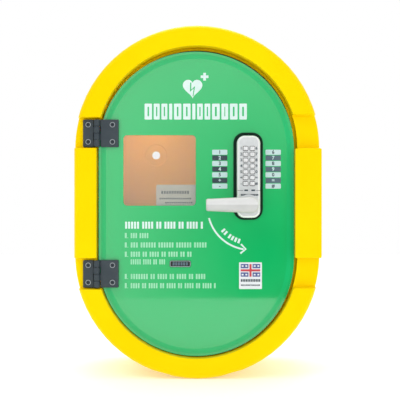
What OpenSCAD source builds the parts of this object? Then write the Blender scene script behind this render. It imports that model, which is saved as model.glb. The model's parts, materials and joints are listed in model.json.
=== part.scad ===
// Wall cabinet for a defibrillator. A double-walled moulded housing has a see-through
// door on two surface hinges, shut by a push-button code lock with a lever. Inside are a
// shelf, a frost heater, a light bar and the box where the supply comes in.
//
// Millimetres. The origin is the centre of the four wall fixings on the back plane,
// +X is to the right as seen from the front, +Y goes into the wall and +Z is up.
// A depth called v is the distance in front of the back plane, so v = -y.

/* [Cabinet] */
// Overall width of the housing's rounded body
cabinet_w = 386; // [385:0.5:387]
// Overall height of the housing
cabinet_h = 553.5; // [552:0.5:555]
// Depth of the housing, from the wall to the front of its rim
cabinet_d = 190; // [188:1:192]
// Width of the rim's front face
rim_w = 35.5; // [35.3:0.1:36]
// How far the door's recess goes in from the rim
recess_d = 25; // [25:0.5:26]
// Width of the ledge that the door closes on
ledge_w = 12; // [11:0.5:12]
// Thickness of the moulded walls
wall_t = 5; // [4:0.5:5]
// Thickness of the storage space's back wall
back_t = 8; // [8:0.5:9]
// Radius of the rim's outer edge
rim_round = 8; // [6:0.5:9]

/* [Door] */
// Gap between the door's edge and the recess
door_gap = 3.3; // [3.2:0.05:3.6]
// Thickness of the clear panel
panel_t = 7.7; // [7:0.1:7.7]
// Thickness of the printed film on its face
film_t = 0.3; // [0.2:0.05:0.3]
// Width of the clear window left in the film
window_w = 114; // [100:1:116]
// Height of the clear window left in the film
window_h = 111; // [100:1:112]
// Corner radius of the window
window_r = 6; // [4:0.5:10]

/* [Hinges] */
// Distance between the two hinges' centres
hinge_spacing = 220.9; // [218:0.1:222]
// Height of a hinge
hinge_h = 43.2; // [40:0.4:44]
// Thickness of a hinge leaf
leaf_t = 5; // [4:0.5:5]
// Diameter of a hinge knuckle
knuckle_d = 10; // [9:0.5:10]
// Diameter of a hinge pin
pin_d = 5; // [4:0.5:5]
// Radial clearance between a pin and its knuckles
pin_play = 0.05; // [0.02:0.01:0.08]

/* [Lock] */
// Width of the lock's front plate
plate_w = 36; // [36:0.5:38]
// Height of the lock's front plate
plate_h = 128; // [127:1:130]
// Thickness of the lock's front plate over the gasket
plate_t = 18; // [18:0.5:19]
// Corner radius of the front plate
plate_r = 11.5; // [9:0.5:12]
// Distance between two rows of buttons
button_pitch = 9.13; // [9:0.01:9.2]
// Distance between the two columns of buttons
column_gap = 10.6; // [10.2:0.1:11]
// How far a button stands out of the plate
button_out = 2.3; // [2.2:0.1:3]
// Distance from the lever's pivot to its tip
lever_reach = 66.5; // [60:0.5:68]
// Height of the lever at its tip
lever_tip_h = 19.2; // [16:0.2:20]
// Height of the lever at its root
lever_root_h = 24.6; // [22:0.2:25]

/* [Wall fixings] */
// Distance between the wall fixings from side to side
fixing_dx = 148; // [140:1:150]
// Distance between the wall fixings from top to bottom
fixing_dz = 166; // [160:1:170]
// Diameter of a wall fixing hole
fixing_d = 14; // [10:1:14]
// Diameter of the shallow washer seat round it
fixing_seat_d = 39; // [34:1:40]

/* [Inside] */
// Width of the shelf
shelf_w = 230; // [210:5:230]
// Depth of the shelf
shelf_d = 112; // [100:1:112]
// Height of the shelf's top face
shelf_z = -118.5; // [-120:0.5:-118.5]
// Diameter of the supply cable's bore in its grommet
cable_d = 8; // [6:0.5:9]
// Number of fins on the heater
fin_count = 9; // [6:1:9]

/* [Hidden] */
$fn = 64;
eps = 0.01;

// outlines of the housing, each a radius and half the length of its straight sides
outer_r = cabinet_w / 2;
outer_half = (cabinet_h - cabinet_w) / 2;
recess_r = outer_r - rim_w;
recess_extra = 3.45;
recess_half = outer_half + recess_extra;
cavity_r = recess_r - ledge_w;
back_round = 5;
ledge_v = cabinet_d - recess_d;
vent_d = 8;
vent_rim = 1.2;
vent_rim_t = 1.5;
seat_depth = 1.5;

// door
panel_v = ledge_v + 3;
film_v = panel_v + panel_t;
face_v = film_v + film_t;
seal_w = 4.5;
seal_inset = 3;
seal_t = panel_v - ledge_v - 0.3;
panel_r = recess_r - door_gap;
end_gap = 1.05;
panel_half = recess_half - end_gap;
door_at = [-1.5, -2.8];
window_at = [-59.4, 49.9];
edge_inset = 0.2;
location_at = [-26.9, -97.3];
location_size = [33.6, 10.7];
location_round = 3;
location_t = 1;
corner_at = [83.9, -116];
corner_size = [36, 42];
rating_at = [-33, 9.5];
rating_size = [64, 36];
label_t = 0.3;

// hinges
hinge_mid_z = -2.35;
hinge_z = [hinge_mid_z + hinge_spacing / 2, hinge_mid_z - hinge_spacing / 2];
axis_x = -157.6;
axis_v = face_v + 6;
knuckle_r = knuckle_d / 2;
leaf_stop = knuckle_r + 0.6;
frame_leaf_x = -179.5;
door_leaf_x = -123.8;
frame_screw_x = -171.4;
door_screw_x = -133.3;
screw_dz = 13.5;
head_r = 4.4;
csk_r = 4.6;
csk_h = 2.2;
hinge_bore_r = 2.6;
screw_r = 2.4;
insert_r = 4;
insert_len = 12;
nut_h = 5;
nut_r = 4.6;
nut_flange_r = 4.9;
nut_flange_t = 1;
csk_key_r = 1.75;
csk_key_depth = 1.7;
head_sink = 0.1;

// flat lands in the rim, each its side and its span in z, and the guard block at the lock side
land_v = face_v - 0.3;
land_x = 100;
lands = [[-1, [85, 132.3]], [-1, [-136, -88]], [1, [85, 137]], [1, [-134, -85]]];
pad_margin = 5;
pad_d = 30;
guard_x = [153.1, 194.5];
guard_z = [-87.5, 84];
guard_t = 12.5;
guard_side_t = 6;
guard_side_d = 40;
guard_round = 2;
foot_w = 60;
foot_splay = 22;
foot_step = 9;
foot_top = 35;

// lock
plate_at = [80.1, 39.6];
gasket_at = [80.1, 40.7];
gasket_margin = 5;
gasket_t = 2;
gasket_over = [10.3, 9.4];
plate_v = face_v + gasket_t;
plate_face_v = plate_v + plate_t;
plate_wall = 3;
plate_step = 4;
plate_inset = 2;
lever_at = [80, -4.2];
neck_r = 8;
neck_play = 0.05;
spindle_w = 8;
spindle_end_v = 146.2;
spindle_hole_r = 6.5;
fixing_screw_z = [95.5, -19];
fixing_post_r = 3.6;
lock_screw_r = 1.9;
panel_screw_hole = 2.3;
gasket_screw_hole = 2.5;
film_screw_hole = 2.8;
lock_head_r = 3.6;
lock_head_h = 2.4;
back_gasket_t = 1.5;
back_plate_t = 8;
back_plate_v = panel_v - back_gasket_t - back_plate_t;
cam_t = 3;
cam_v = 146;
cam_reach = 43.5;
cam_w = 14;
cam_tip_r = 3;
cam_hub_over = 2;
cam_screw_r = 1.95;
cam_screw_len = 11;
cam_washer_r = 6.6;
cam_washer_t = 1;
cam_head_r = 3.8;
cam_head_h = 2;
key_r = 1.6;
neck_v = plate_v + 1.5;
lever_foot_v = plate_face_v + 0.4;
lever_heel = 13.5;
paddle_v = plate_face_v + 18;
paddle_t = 14;
lever_tip_r = 3;
lever_root_r = 7;
lever_bevel = 2.4;
lever_bevel_h = 4;
spindle_tip_v = plate_face_v + 9.5;
lock_screw_grip = 11;
spring_r = 9.6;
spring_wire = 1.4;
spring_turns = 3;
spring_rings = 24;
spring_pitch = 2.2;
spring_v = plate_v + 4;

// buttons: a cap through the plate, a flange behind it and a stem in the code chamber
button_left_x = 75;
button_top_z = 83.5;
cap_w = 7.2;
cap_h = 5.8;
cap_round = 1.2;
cap_play = 0.3;
flange_over = 1.4;
flange_t = 1.7;
stem_r = 1.5;
stem_play = 0.08;
stem_end_v = plate_v + 3.5;
chamber_t = 10.4;
chamber_face_v = plate_v + chamber_t;
chamber_x = [-8.5, 8.1];
chamber_z = [-4.7, 4.9];
flange_top_v = plate_face_v - plate_wall - 0.3;
button_travel = 2.2;

// inside
strike_x = 125.3;
strike_z = [-30, 25];
strike_v = 150;
strike_lip_t = 3;
strike_t = 2;
strike_back_v = 128;
strike_screw_v = 138;
strike_screw_dz = 17.5;
strike_screw_r = 1.9;
strike_head_r = 3.6;
strike_head_h = 2.2;
pilot_r = 1.6;
pilot_d = 5.5;
pan_r = 3.2;
pan_top_r = 2;
pan_side_h = 1.2;
pan_top_h = 1;
pan_key_r = 1.4;
pan_screw_hole = 2;
shelf_t = 1.5;
shelf_flange = 31;
shelf_lip = 12;
slot_pitch = 34;
slot_v = [35, 60, 85];
slot_size = [22, 8];
slot_round = 3.9;
shelf_screw_at = [for (x = [-95, -35, 35, 95]) [x, -140]];
heater_at = [-20, -180];
heater_w = 80;
heater_h = 50;
heater_base_t = 6;
fin_h = 24;
fin_t = 2;
fin_pitch = 6.3;
fin_margin = 4;
fin_half_z = 0.34 * heater_h;
heater_v = back_t + heater_base_t;
heater_screw_at = [for (x = [-1, 1], z = [-1, 1]) heater_at + [x * 35, z * 21]];
thermostat_at = heater_at + [30, 0];
thermostat_r = 6.5;
thermostat_h = 6;
thermostat_flange_r = 8;
thermostat_flange_t = 2;
blade_dz = 3;
blade_half = [1.5, 0.4];
blade_v = [7, 14];
box_at = [60, -173];
box_w = 52;
box_h = 38;
box_d = 26;
box_wall = 2;
lid_t = 2.5;
lid_round = 2;
lid_step = [10, 1];
lid_lip = [1.5, 2];
lid_play = 0.2;
grommet_r = 9.98;
grommet_flange = 2;
light_z = 202;
light_w = 120;
light_h = 12;
light_d = 12;
light_wall = 3;
light_pocket = 4;
light_half_z = 3.6;
light_play = 0.2;
lens_size = [light_w - 8, 5];
lens_t = 1.2;
lens_round = 2.4;
lead_d = 3;
light_lead = [
    [86.4, 20, -172], [98, 20, -171], [110, 18, -164], [119, 14, -150], [124, 12, -130],
    [125, 12, -100], [125, 12, -60], [125, 12, -20], [125, 12, 20], [125, 12, 60],
    [125, 12, 100], [122, 12, 130], [114, 12, 155], [100, 12, 178], [84, 12, 194],
    [72, 13, 201], [60.6, 14, 202]
];
heater_lead = [[33.6, 11, -178], [30, 12, -178], [24, 12, -178], [20.4, 11, -178]];
clip_z = [-60, 20, 92];
clip_at = [125, 12];
clip_r = 3.2;
clip_h = 7;
clip_foot = [12, 1.5];

// ---- outlines, drawn in (x, z), and the way they are placed ----

// stands an outline up and draws it out towards the front by h, from the depth v
module face_out(h, v = 0) translate([0, -v, 0]) rotate([90, 0, 0])
    linear_extrude(height = h) children();

module stadium(r, half) {
    translate([0, half]) circle(r, $fn = 128);
    translate([0, -half]) circle(r, $fn = 128);
    square([2 * r, 2 * half], center = true);
}

module soft_rect(w, h, r) {
    square([w - 2 * r, h], center = true);
    square([w, h - 2 * r], center = true);
    for (x = [-1, 1], z = [-1, 1]) translate([x * (w / 2 - r), z * (h / 2 - r)]) circle(r);
}

// a round bar pointing forwards from the depth v
module peg(x, z, r, v, h, far_r = -1) translate([x, -v, z]) rotate([90, 0, 0])
    cylinder(r1 = r, r2 = far_r < 0 ? r : far_r, h = h);

// a six-sided bar pointing forwards from the depth v
module hex_peg(x, z, r, v, h) translate([x, -v, z]) rotate([90, 0, 0])
    cylinder(r = r, h = h, $fn = 6);

// a box given by its lowest and highest x, v and z
module block(x, v, z) translate([x[0], -v[1], z[0]]) cube([x[1] - x[0], v[1] - v[0], z[1] - z[0]]);

// the stretch from lo to hi on either side of a place
function span(place, lo, hi) = [place + lo, place + hi];
function around(place, half) = span(place, -half, half);

// ---- housing ----

// half section of the housing's body: distance from the middle, then depth
module housing_profile() {
    square([outer_r - rim_round, cabinet_d]);
    translate([0, back_round]) square([outer_r, cabinet_d - rim_round - back_round]);
    square([outer_r - back_round, 2 * back_round]);
    translate([outer_r - rim_round, cabinet_d - rim_round]) circle(rim_round);
    translate([outer_r - back_round, back_round]) circle(back_round);
}

module housing_body() {
    translate([0, 0, outer_half]) rotate([90, 0, 0])
        rotate_extrude(angle = 180, $fn = 128) housing_profile();
    translate([0, 0, -outer_half]) rotate([90, 0, 0]) rotate([0, 0, 180])
        rotate_extrude(angle = 180, $fn = 128) housing_profile();
    translate([0, 0, -outer_half]) linear_extrude(height = 2 * outer_half) {
        mirror([0, 1]) housing_profile();
        mirror([1, 0]) mirror([0, 1]) housing_profile();
    }
}

// the hollow between the outer wall and the walls of the storage space and the recess
module wall_hollow() difference() {
    face_out(cabinet_d - 2 * wall_t, wall_t) stadium(outer_r - wall_t, outer_half);
    face_out(cabinet_d) stadium(cavity_r + wall_t, recess_half);
    face_out(cabinet_d, ledge_v - wall_t) stadium(recess_r + wall_t, recess_half);
    for (land = lands) hinge_pad(land[0], land[1]);
}

// solid backing for the hinge inserts, in the hollow behind a land that spans z
module hinge_pad(side, z) {
    x0 = side > 0 ? land_x - pad_margin : -outer_r;
    block([x0, x0 + outer_r - land_x + pad_margin], [cabinet_d - pad_d, cabinet_d],
        [z[0] - pad_margin, z[1] + pad_margin]);
}

// what is cut away to leave a flat land in the rim
module land_cut(side, z) {
    x0 = side > 0 ? land_x : -outer_r - 1;
    block([x0, x0 + outer_r + 1 - land_x], [land_v, cabinet_d + 1], z);
}

// the block that guards the lock side of the door: section in x and depth, drawn up
module guard_block() translate([0, 0, guard_z[0]])
    linear_extrude(height = guard_z[1] - guard_z[0]) mirror([0, 1]) {
        translate([(guard_x[0] + guard_x[1]) / 2, cabinet_d - guard_t / 2])
            soft_rect(guard_x[1] - guard_x[0], guard_t, guard_round);
        translate([guard_x[1] - guard_side_t / 2, cabinet_d - guard_side_d / 2])
            soft_rect(guard_side_t, guard_side_d, guard_round);
    }

// a flat under the rounded end, for the cabinet to stand on before it is hung
module foot() face_out(cabinet_d - rim_round - back_round, back_round) polygon([
    for (p = [[-foot_splay, foot_step], [-foot_splay, foot_top]]) [p[0] - foot_w / 2, p[1] - cabinet_h / 2],
    for (p = [[foot_splay, foot_top], [foot_splay, foot_step], [0, 0]])
        [p[0] + foot_w / 2, p[1] - cabinet_h / 2],
    [-foot_w / 2, -cabinet_h / 2]
]);

module at_fixings() for (x = [-1, 1], z = [-1, 1])
    translate([x * fixing_dx / 2, 0, z * fixing_dz / 2]) children();

module at_spots(spots) for (p = spots) translate([p[0], 0, p[1]]) children();

module at_vents() {
    spot = (outer_r + cavity_r) / 2;
    for (x = [-1, 1]) translate([x * spot, 0, 0]) children();
    for (z = [-1, 1]) translate([0, 0, z * (spot + recess_half)]) children();
}

module housing() color("gold") difference() {
    union() {
        difference() {
            union() {
                housing_body();
                foot();
            }
            face_out(cabinet_d, back_t) stadium(cavity_r, recess_half);
            face_out(cabinet_d, ledge_v) stadium(recess_r, recess_half);
            wall_hollow();
        }
        guard_block();
    }
    for (land = lands) land_cut(land[0], land[1]);
    for (z = hinge_z) at_hinge_screws(frame_screw_x, z)
        peg(0, 0, insert_r + 0.02, land_v - insert_len, insert_len + 1);
    at_fixings() {
        peg(0, 0, fixing_d / 2, -1, back_t + 2);
        peg(0, 0, fixing_seat_d / 2, back_t - seat_depth, 2 * seat_depth);
    }
    at_vents() peg(0, 0, vent_d / 2, -1, wall_t + 2);
    at_spots([box_at]) peg(0, 0, grommet_r + 0.12, -1, back_t + 2);
    at_spots(shelf_screw_at) peg(0, 0, pilot_r, back_t - pilot_d, pilot_d + 1);
    at_spots(heater_screw_at) peg(0, 0, pilot_r, back_t - pilot_d, pilot_d + 1);
    at_strike_screws() cylinder(r = strike_screw_r + 0.05, h = wall_t + 2);
}

module vent_plugs() color("darkgoldenrod") at_vents() {
    peg(0, 0, vent_d / 2 - 0.02, 0.3, wall_t - 0.3);
    peg(0, 0, vent_d / 2 + vent_rim, wall_t, vent_rim_t);
}

module door_seal() color("dimgray") face_out(seal_t, ledge_v) difference() {
    stadium(cavity_r + seal_w + seal_inset, recess_half);
    stadium(cavity_r + seal_inset, recess_half);
}

// ---- the catch for the cam, on the wall of the storage space ----

module at_strike_screws() for (dz = [-1, 1])
    translate([cavity_r, -strike_screw_v, (strike_z[0] + strike_z[1]) / 2 + dz * strike_screw_dz])
        rotate([0, 90, 0]) children();

module strike_plate() color("silver") difference() {
    union() {
        block([strike_x, cavity_r], [strike_v, strike_v + strike_lip_t], strike_z);
        block([cavity_r - strike_t, cavity_r], [strike_back_v, strike_v + strike_lip_t], strike_z);
    }
    at_strike_screws() translate([0, 0, -strike_t - 1])
        cylinder(r = strike_screw_r + 0.2, h = strike_t + 2);
}

module strike_screws() color("darkgray") at_strike_screws() {
    translate([0, 0, -strike_t]) cylinder(r = strike_screw_r, h = strike_t + wall_t);
    translate([0, 0, -strike_t - strike_head_h]) difference() {
        cylinder(r = strike_head_r, h = strike_head_h);
        translate([0, 0, -1]) cylinder(r = key_r, h = strike_head_h, $fn = 6);
    }
}

// ---- what is inside the storage space ----

// a round-headed screw in the back wall, through something that ends at the depth v
module back_screw(v) difference() {
    union() {
        peg(0, 0, pilot_r - 0.05, back_t - pilot_d + 0.5, v - back_t + pilot_d);
        peg(0, 0, pan_r, v, pan_side_h);
        peg(0, 0, pan_r, v + pan_side_h, pan_top_h, pan_top_r);
    }
    hex_peg(0, 0, pan_key_r, v + pan_side_h - 0.4, 3);
}

module support_shelf() color("lightsteelblue") difference() {
    union() {
        block(around(0, shelf_w / 2), [back_t, back_t + shelf_d], [shelf_z - shelf_t, shelf_z]);
        block(around(0, shelf_w / 2), [back_t, back_t + shelf_t], [shelf_z - shelf_flange, shelf_z]);
        block(around(0, shelf_w / 2), [back_t + shelf_d - shelf_t, back_t + shelf_d],
            [shelf_z - shelf_lip, shelf_z]);
    }
    at_spots(shelf_screw_at) peg(0, 0, pan_screw_hole, back_t - 1, shelf_t + 2);
    for (x = [-2.5 : 1 : 2.5], v = slot_v) translate([x * slot_pitch, -v, shelf_z - shelf_t - 1])
        linear_extrude(height = shelf_t + 2) soft_rect(slot_size[0], slot_size[1], slot_round);
}

module shelf_screws() color("silver") at_spots(shelf_screw_at) back_screw(back_t + shelf_t);

module heater_block() color("darkgray") difference() {
    union() {
        block(around(heater_at[0], heater_w / 2), [back_t, heater_v], around(heater_at[1], heater_h / 2));
        for (i = [0 : fin_count - 1])
            block(span(heater_at[0] - heater_w / 2 + fin_margin + i * fin_pitch, 0, fin_t),
                [heater_v - 1, heater_v + fin_h], around(heater_at[1], fin_half_z));
    }
    at_spots(heater_screw_at) peg(0, 0, pan_screw_hole, back_t - 1, heater_base_t + 2);
}

module heater_screws() color("silver") at_spots(heater_screw_at) back_screw(heater_v);

// a snap-disc thermostat: a cup on a flange, with two terminal blades
module thermostat() color("dimgray") {
    peg(thermostat_at[0], thermostat_at[1], thermostat_flange_r, heater_v, thermostat_flange_t);
    peg(thermostat_at[0], thermostat_at[1], thermostat_r, heater_v + thermostat_flange_t, thermostat_h);
    for (dz = [-1, 1])
        block(around(thermostat_at[0], blade_half[0]), [heater_v + blade_v[0], heater_v + blade_v[1]],
            around(thermostat_at[1] + dz * blade_dz, blade_half[1]));
}

module terminal_box() color("whitesmoke") difference() {
    block(around(box_at[0], box_w / 2), [back_t, back_t + box_d], around(box_at[1], box_h / 2));
    block(around(box_at[0], box_w / 2 - box_wall), [back_t + box_wall, back_t + box_d + 1],
        around(box_at[1], box_h / 2 - box_wall));
    peg(box_at[0], box_at[1], grommet_r + grommet_flange + 0.1, back_t - 1, box_wall + 2);
}

module terminal_box_lid() color("white") translate([box_at[0], 0, box_at[1]]) {
    lip_in = 2 * (box_wall + lid_play);
    face_out(lid_t, back_t + box_d) soft_rect(box_w, box_h, lid_round);
    face_out(lid_step[1], back_t + box_d + lid_t)
        soft_rect(box_w - lid_step[0], box_h - lid_step[0], lid_round + 1);
    face_out(lid_lip[1], back_t + box_d - lid_lip[1]) difference() {
        square([box_w - lip_in, box_h - lip_in], center = true);
        square([box_w - lip_in - 2 * lid_lip[0], box_h - lip_in - 2 * lid_lip[0]], center = true);
    }
}

module cable_grommet() color("dimgray") difference() {
    union() {
        peg(box_at[0], box_at[1], grommet_r, 0.2, back_t - 0.2);
        peg(box_at[0], box_at[1], grommet_r + grommet_flange, back_t, box_wall);
    }
    peg(box_at[0], box_at[1], cable_d / 2, -1, back_t + box_wall + 2);
}

module led_bar() color("lightgray") translate([0, 0, light_z]) difference() {
    block(around(0, light_w / 2), [back_t, back_t + light_d], around(0, light_h / 2));
    block(around(0, light_w / 2 - light_wall), [back_t + light_d - light_pocket, back_t + light_d + 1],
        around(0, light_half_z));
}

module led_diffuser() color("white") translate([0, 0, light_z]) {
    block(around(0, light_w / 2 - light_wall - light_play),
        [back_t + light_d - light_pocket + light_play, back_t + light_d],
        around(0, light_half_z - light_play));
    face_out(lens_t, back_t + light_d) soft_rect(lens_size[0], lens_size[1], lens_round);
}

// a tube of radius r swept with a ring of flat sides at each [x, v, z] of a route
module swept_tube(route, r, sides) {
    path = [for (p = route) [p[0], -p[1], p[2]]];
    last = len(path) - 1;
    rings = [for (i = [0 : last])
        let (along = path[min(i + 1, last)] - path[max(i - 1, 0)],
            t = along / norm(along), n = unit(cross(t, [0, 1, 0])), b = cross(t, n))
        for (k = [0 : sides - 1]) path[i] + r * (cos(360 * k / sides) * n + sin(360 * k / sides) * b)];
    skin = [for (i = [0 : last - 1], k = [0 : sides - 1])
        let (a = i * sides + k, c = i * sides + (k + 1) % sides)
        each [[a, c, c + sides], [a, c + sides, a + sides]]];
    polyhedron(rings, concat(skin, [[for (k = [sides - 1 : -1 : 0]) k]],
        [[for (k = [0 : sides - 1]) last * sides + k]]));
}

function unit(a) = a / norm(a);

module internal_leads() color("black") {
    swept_tube(light_lead, lead_d / 2, 8);
    swept_tube(heater_lead, lead_d / 2, 8);
}

// saddle clips over the straight stretch of the light's lead
module lead_clips() color("white") for (z = clip_z) translate([clip_at[0], -clip_at[1], z]) difference() {
    union() {
        cylinder(r = clip_r, h = clip_h, center = true);
        translate([-clip_r, 0, -clip_h / 2]) cube([2 * clip_r, clip_at[1] - back_t, clip_h]);
        translate([-clip_r, clip_at[1] - back_t - clip_foot[1], -clip_h / 2])
            cube([clip_foot[0], clip_foot[1], clip_h]);
    }
    cylinder(r = lead_d / 2 + 0.1, h = clip_h + 2, center = true);
}

// ---- hinges ----

module at_hinge_screws(x, z) for (dz = [-1, 1]) translate([x, 0, z + dz * screw_dz]) children();

// a leaf with its knuckles: side is -1 on the frame and 1 on the door, and slots counts
// its knuckles from the top
module hinge_leaf(side, edge_x, screw_x, slots, v) difference() {
    stop_x = axis_x + side * leaf_stop;
    lug_h = hinge_h / 4 - 0.3;
    union() {
        block([min(edge_x, stop_x), max(edge_x, stop_x)], [v, face_v + leaf_t], around(0, hinge_h / 2));
        for (i = slots) translate([0, 0, hinge_h * (0.375 - i / 4)]) {
            block([min(axis_x, stop_x), max(axis_x, stop_x)], [v, face_v + leaf_t], around(0, lug_h / 2));
            translate([axis_x, -axis_v, 0]) cylinder(r = knuckle_r, h = lug_h, center = true);
        }
    }
    translate([axis_x, -axis_v, 0]) cylinder(r = pin_d / 2 + pin_play, h = hinge_h + 2, center = true);
    at_hinge_screws(screw_x, 0) {
        peg(0, 0, hinge_bore_r, v - 1, leaf_t + 3);
        peg(0, 0, csk_r - csk_h, face_v + leaf_t - csk_h, csk_h + eps, csk_r + eps);
    }
}

module frame_leaf(z) color("darkslategray") translate([0, 0, z])
    hinge_leaf(-1, frame_leaf_x, frame_screw_x, [1, 3], land_v);

module door_leaf(z) color("darkslategray") translate([0, 0, z])
    hinge_leaf(1, door_leaf_x, door_screw_x, [0, 2], face_v);

module hinge_frame_leaf_upper() frame_leaf(hinge_z[0]);
module hinge_frame_leaf_lower() frame_leaf(hinge_z[1]);
module hinge_door_leaf_upper() door_leaf(hinge_z[0]);
module hinge_door_leaf_lower() door_leaf(hinge_z[1]);

module hinge_pin(z) color("gray") translate([axis_x, -axis_v, z])
    cylinder(r = pin_d / 2, h = hinge_h - 0.4, center = true);

module hinge_pin_upper() hinge_pin(hinge_z[0]);
module hinge_pin_lower() hinge_pin(hinge_z[1]);

// a countersunk socket screw from the hinge's face down to the depth tip_v
module csk_screw(tip_v) {
    head_v = face_v + leaf_t - head_sink;
    difference() {
        union() {
            peg(0, 0, screw_r, tip_v, head_v - csk_h - tip_v + 0.4);
            peg(0, 0, head_r - csk_h, head_v - csk_h, csk_h, head_r);
        }
        hex_peg(0, 0, csk_key_r, head_v - csk_key_depth - head_sink, 3);
    }
}

module hinge_frame_screws() color("gray") for (z = hinge_z)
    at_hinge_screws(frame_screw_x, z) csk_screw(land_v - insert_len + 1);

module hinge_door_screws() color("gray") for (z = hinge_z)
    at_hinge_screws(door_screw_x, z) csk_screw(panel_v - nut_h - 2);

module hinge_inserts() color("goldenrod") for (z = hinge_z) at_hinge_screws(frame_screw_x, z)
    difference() {
        peg(0, 0, insert_r, land_v - insert_len, insert_len);
        peg(0, 0, screw_r + 0.05, land_v - insert_len - 1, insert_len + 2);
    }

module hinge_door_nuts() color("silver") for (z = hinge_z) at_hinge_screws(door_screw_x, z)
    difference() {
        union() {
            hex_peg(0, 0, nut_r, panel_v - nut_h, nut_h - nut_flange_t);
            peg(0, 0, nut_flange_r, panel_v - nut_flange_t, nut_flange_t);
        }
        peg(0, 0, screw_r + 0.05, panel_v - nut_h - 1, nut_h + 2);
    }

// ---- door ----

// holes for the lever's spindle and for the lock's fixing screws
module lock_holes(spindle_hole, screw_hole) {
    translate(lever_at) circle(spindle_hole);
    for (z = fixing_screw_z) translate([plate_at[0], z]) circle(screw_hole);
}

module door_screw_holes(r) for (z = hinge_z, dz = [-1, 1])
    translate([door_screw_x, z + dz * screw_dz]) circle(r);

module door_panel() color([0.8, 0.95, 0.9, 0.5]) face_out(panel_t, panel_v) difference() {
    translate(door_at) stadium(panel_r, panel_half);
    lock_holes(spindle_hole_r, panel_screw_hole);
    door_screw_holes(hinge_bore_r);
}

module door_film() color("mediumseagreen") face_out(film_t, film_v) difference() {
    translate(door_at) stadium(panel_r - edge_inset, panel_half);
    translate(window_at) soft_rect(window_w, window_h, window_r);
    lock_holes(spindle_hole_r + 1, film_screw_hole);
    door_screw_holes(hinge_bore_r + 0.4);
}

module label(at, size, corner, t, v) translate([at[0], 0, at[1]])
    face_out(t, v) soft_rect(size[0], size[1], corner);

module location_plate() color("black")
    label(location_at, location_size, location_round, location_t, face_v);

module corner_label() color("white") label(corner_at, corner_size, 0.8, label_t, face_v);

module rating_label() color("lightgray") label(rating_at, rating_size, 2, label_t, panel_v - label_t);

// ---- lock ----

module at_button(column, row) translate([
    button_left_x + column * column_gap, 0, button_top_z - row * button_pitch
]) children();

module at_buttons() for (column = [0, 1], row = [0 : 6]) at_button(column, row) children();

module lock_front_plate() color("gainsboro") difference() {
    union() {
        translate([plate_at[0], 0, plate_at[1]]) difference() {
            union() {
                face_out(plate_t - plate_step, plate_v) soft_rect(plate_w, plate_h, plate_r);
                face_out(plate_step, plate_face_v - plate_step)
                    soft_rect(plate_w - 2 * plate_inset, plate_h - 2 * plate_inset, plate_r - plate_inset);
            }
            face_out(plate_t - plate_wall, plate_v)
                soft_rect(plate_w - 2 * plate_wall, plate_h - 2 * plate_wall, plate_r - plate_wall);
        }
        for (z = fixing_screw_z) peg(plate_at[0], z, fixing_post_r, plate_v, plate_t - plate_wall + 1);
    }
    at_buttons() face_out(plate_wall + 2, plate_face_v - plate_wall - 1)
        square([cap_w + 2 * cap_play, cap_h + 2 * cap_play], center = true);
    peg(lever_at[0], lever_at[1], neck_r + neck_play, plate_face_v - plate_wall - 1, plate_wall + 2);
    for (z = fixing_screw_z) peg(plate_at[0], z, lock_screw_r, plate_v - 1, lock_screw_grip + 2);
}

module lock_gasket() color("dimgray") face_out(gasket_t, face_v) difference() {
    translate(gasket_at)
        soft_rect(plate_w + gasket_over[0], plate_h + gasket_over[1], plate_r + gasket_margin);
    lock_holes(spindle_hole_r + 1, gasket_screw_hole);
}

module code_chamber() color("tan") difference() {
    block(span(button_left_x, chamber_x[0], column_gap + chamber_x[1]), [plate_v, chamber_face_v],
        span(button_top_z, chamber_z[0] - 6 * button_pitch, chamber_z[1]));
    at_buttons() peg(0, 0, stem_r + stem_play, stem_end_v - button_travel - 0.3, chamber_t);
}

module lock_back_plate() color("silver") face_out(back_plate_t, back_plate_v) difference() {
    translate(plate_at) soft_rect(plate_w, plate_h, plate_r);
    lock_holes(spindle_hole_r, lock_screw_r + 0.2);
}

module lock_back_gasket() color("dimgray") face_out(back_gasket_t, panel_v - back_gasket_t) difference() {
    translate(plate_at) soft_rect(plate_w + 2, plate_h + 2, plate_r + 1);
    lock_holes(spindle_hole_r + 1, gasket_screw_hole);
}

module lock_fixing_screws() color("gray") for (z = fixing_screw_z) translate([plate_at[0], 0, z])
    difference() {
        union() {
            peg(0, 0, lock_screw_r - 0.05, back_plate_v, plate_v + lock_screw_grip - back_plate_v);
            peg(0, 0, lock_head_r, back_plate_v - lock_head_h, lock_head_h);
        }
        hex_peg(0, 0, key_r, back_plate_v - lock_head_h - 0.6, 2.2);
    }

// ---- lever: everything that turns with the spindle ----

// the lever's plan, tip to root, drawn in towards its middle by inset
module lever_corners(inset, v, h) {
    for (side = [-1, 1]) {
        peg(lever_tip_r - lever_reach, side * (lever_tip_h / 2 - lever_tip_r), lever_tip_r - inset, v, h,
            $fn = 32);
        peg(lever_heel - lever_root_r, side * (lever_root_h / 2 - lever_root_r), lever_root_r - inset, v, h,
            $fn = 32);
    }
}

module lever_handle() color("whitesmoke") translate([lever_at[0], 0, lever_at[1]]) difference() {
    union() {
        peg(0, 0, neck_r, neck_v, lever_foot_v - neck_v);
        peg(0, 0, lever_root_h / 2 - 0.5, lever_foot_v, paddle_v - lever_foot_v + 2);
        hull() {
            lever_corners(0, paddle_v, paddle_t - lever_bevel_h);
            lever_corners(lever_bevel, paddle_v, paddle_t);
        }
    }
    face_out(spindle_tip_v - neck_v + 0.4, neck_v - 0.1) square(spindle_w + 0.1, center = true);
}

module lever_spindle() color("gray") translate([lever_at[0], 0, lever_at[1]]) difference() {
    face_out(spindle_tip_v - spindle_end_v, spindle_end_v) square(spindle_w, center = true);
    peg(0, 0, cam_screw_r + 0.05, spindle_end_v - 1, cam_screw_len + 2);
}

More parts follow.
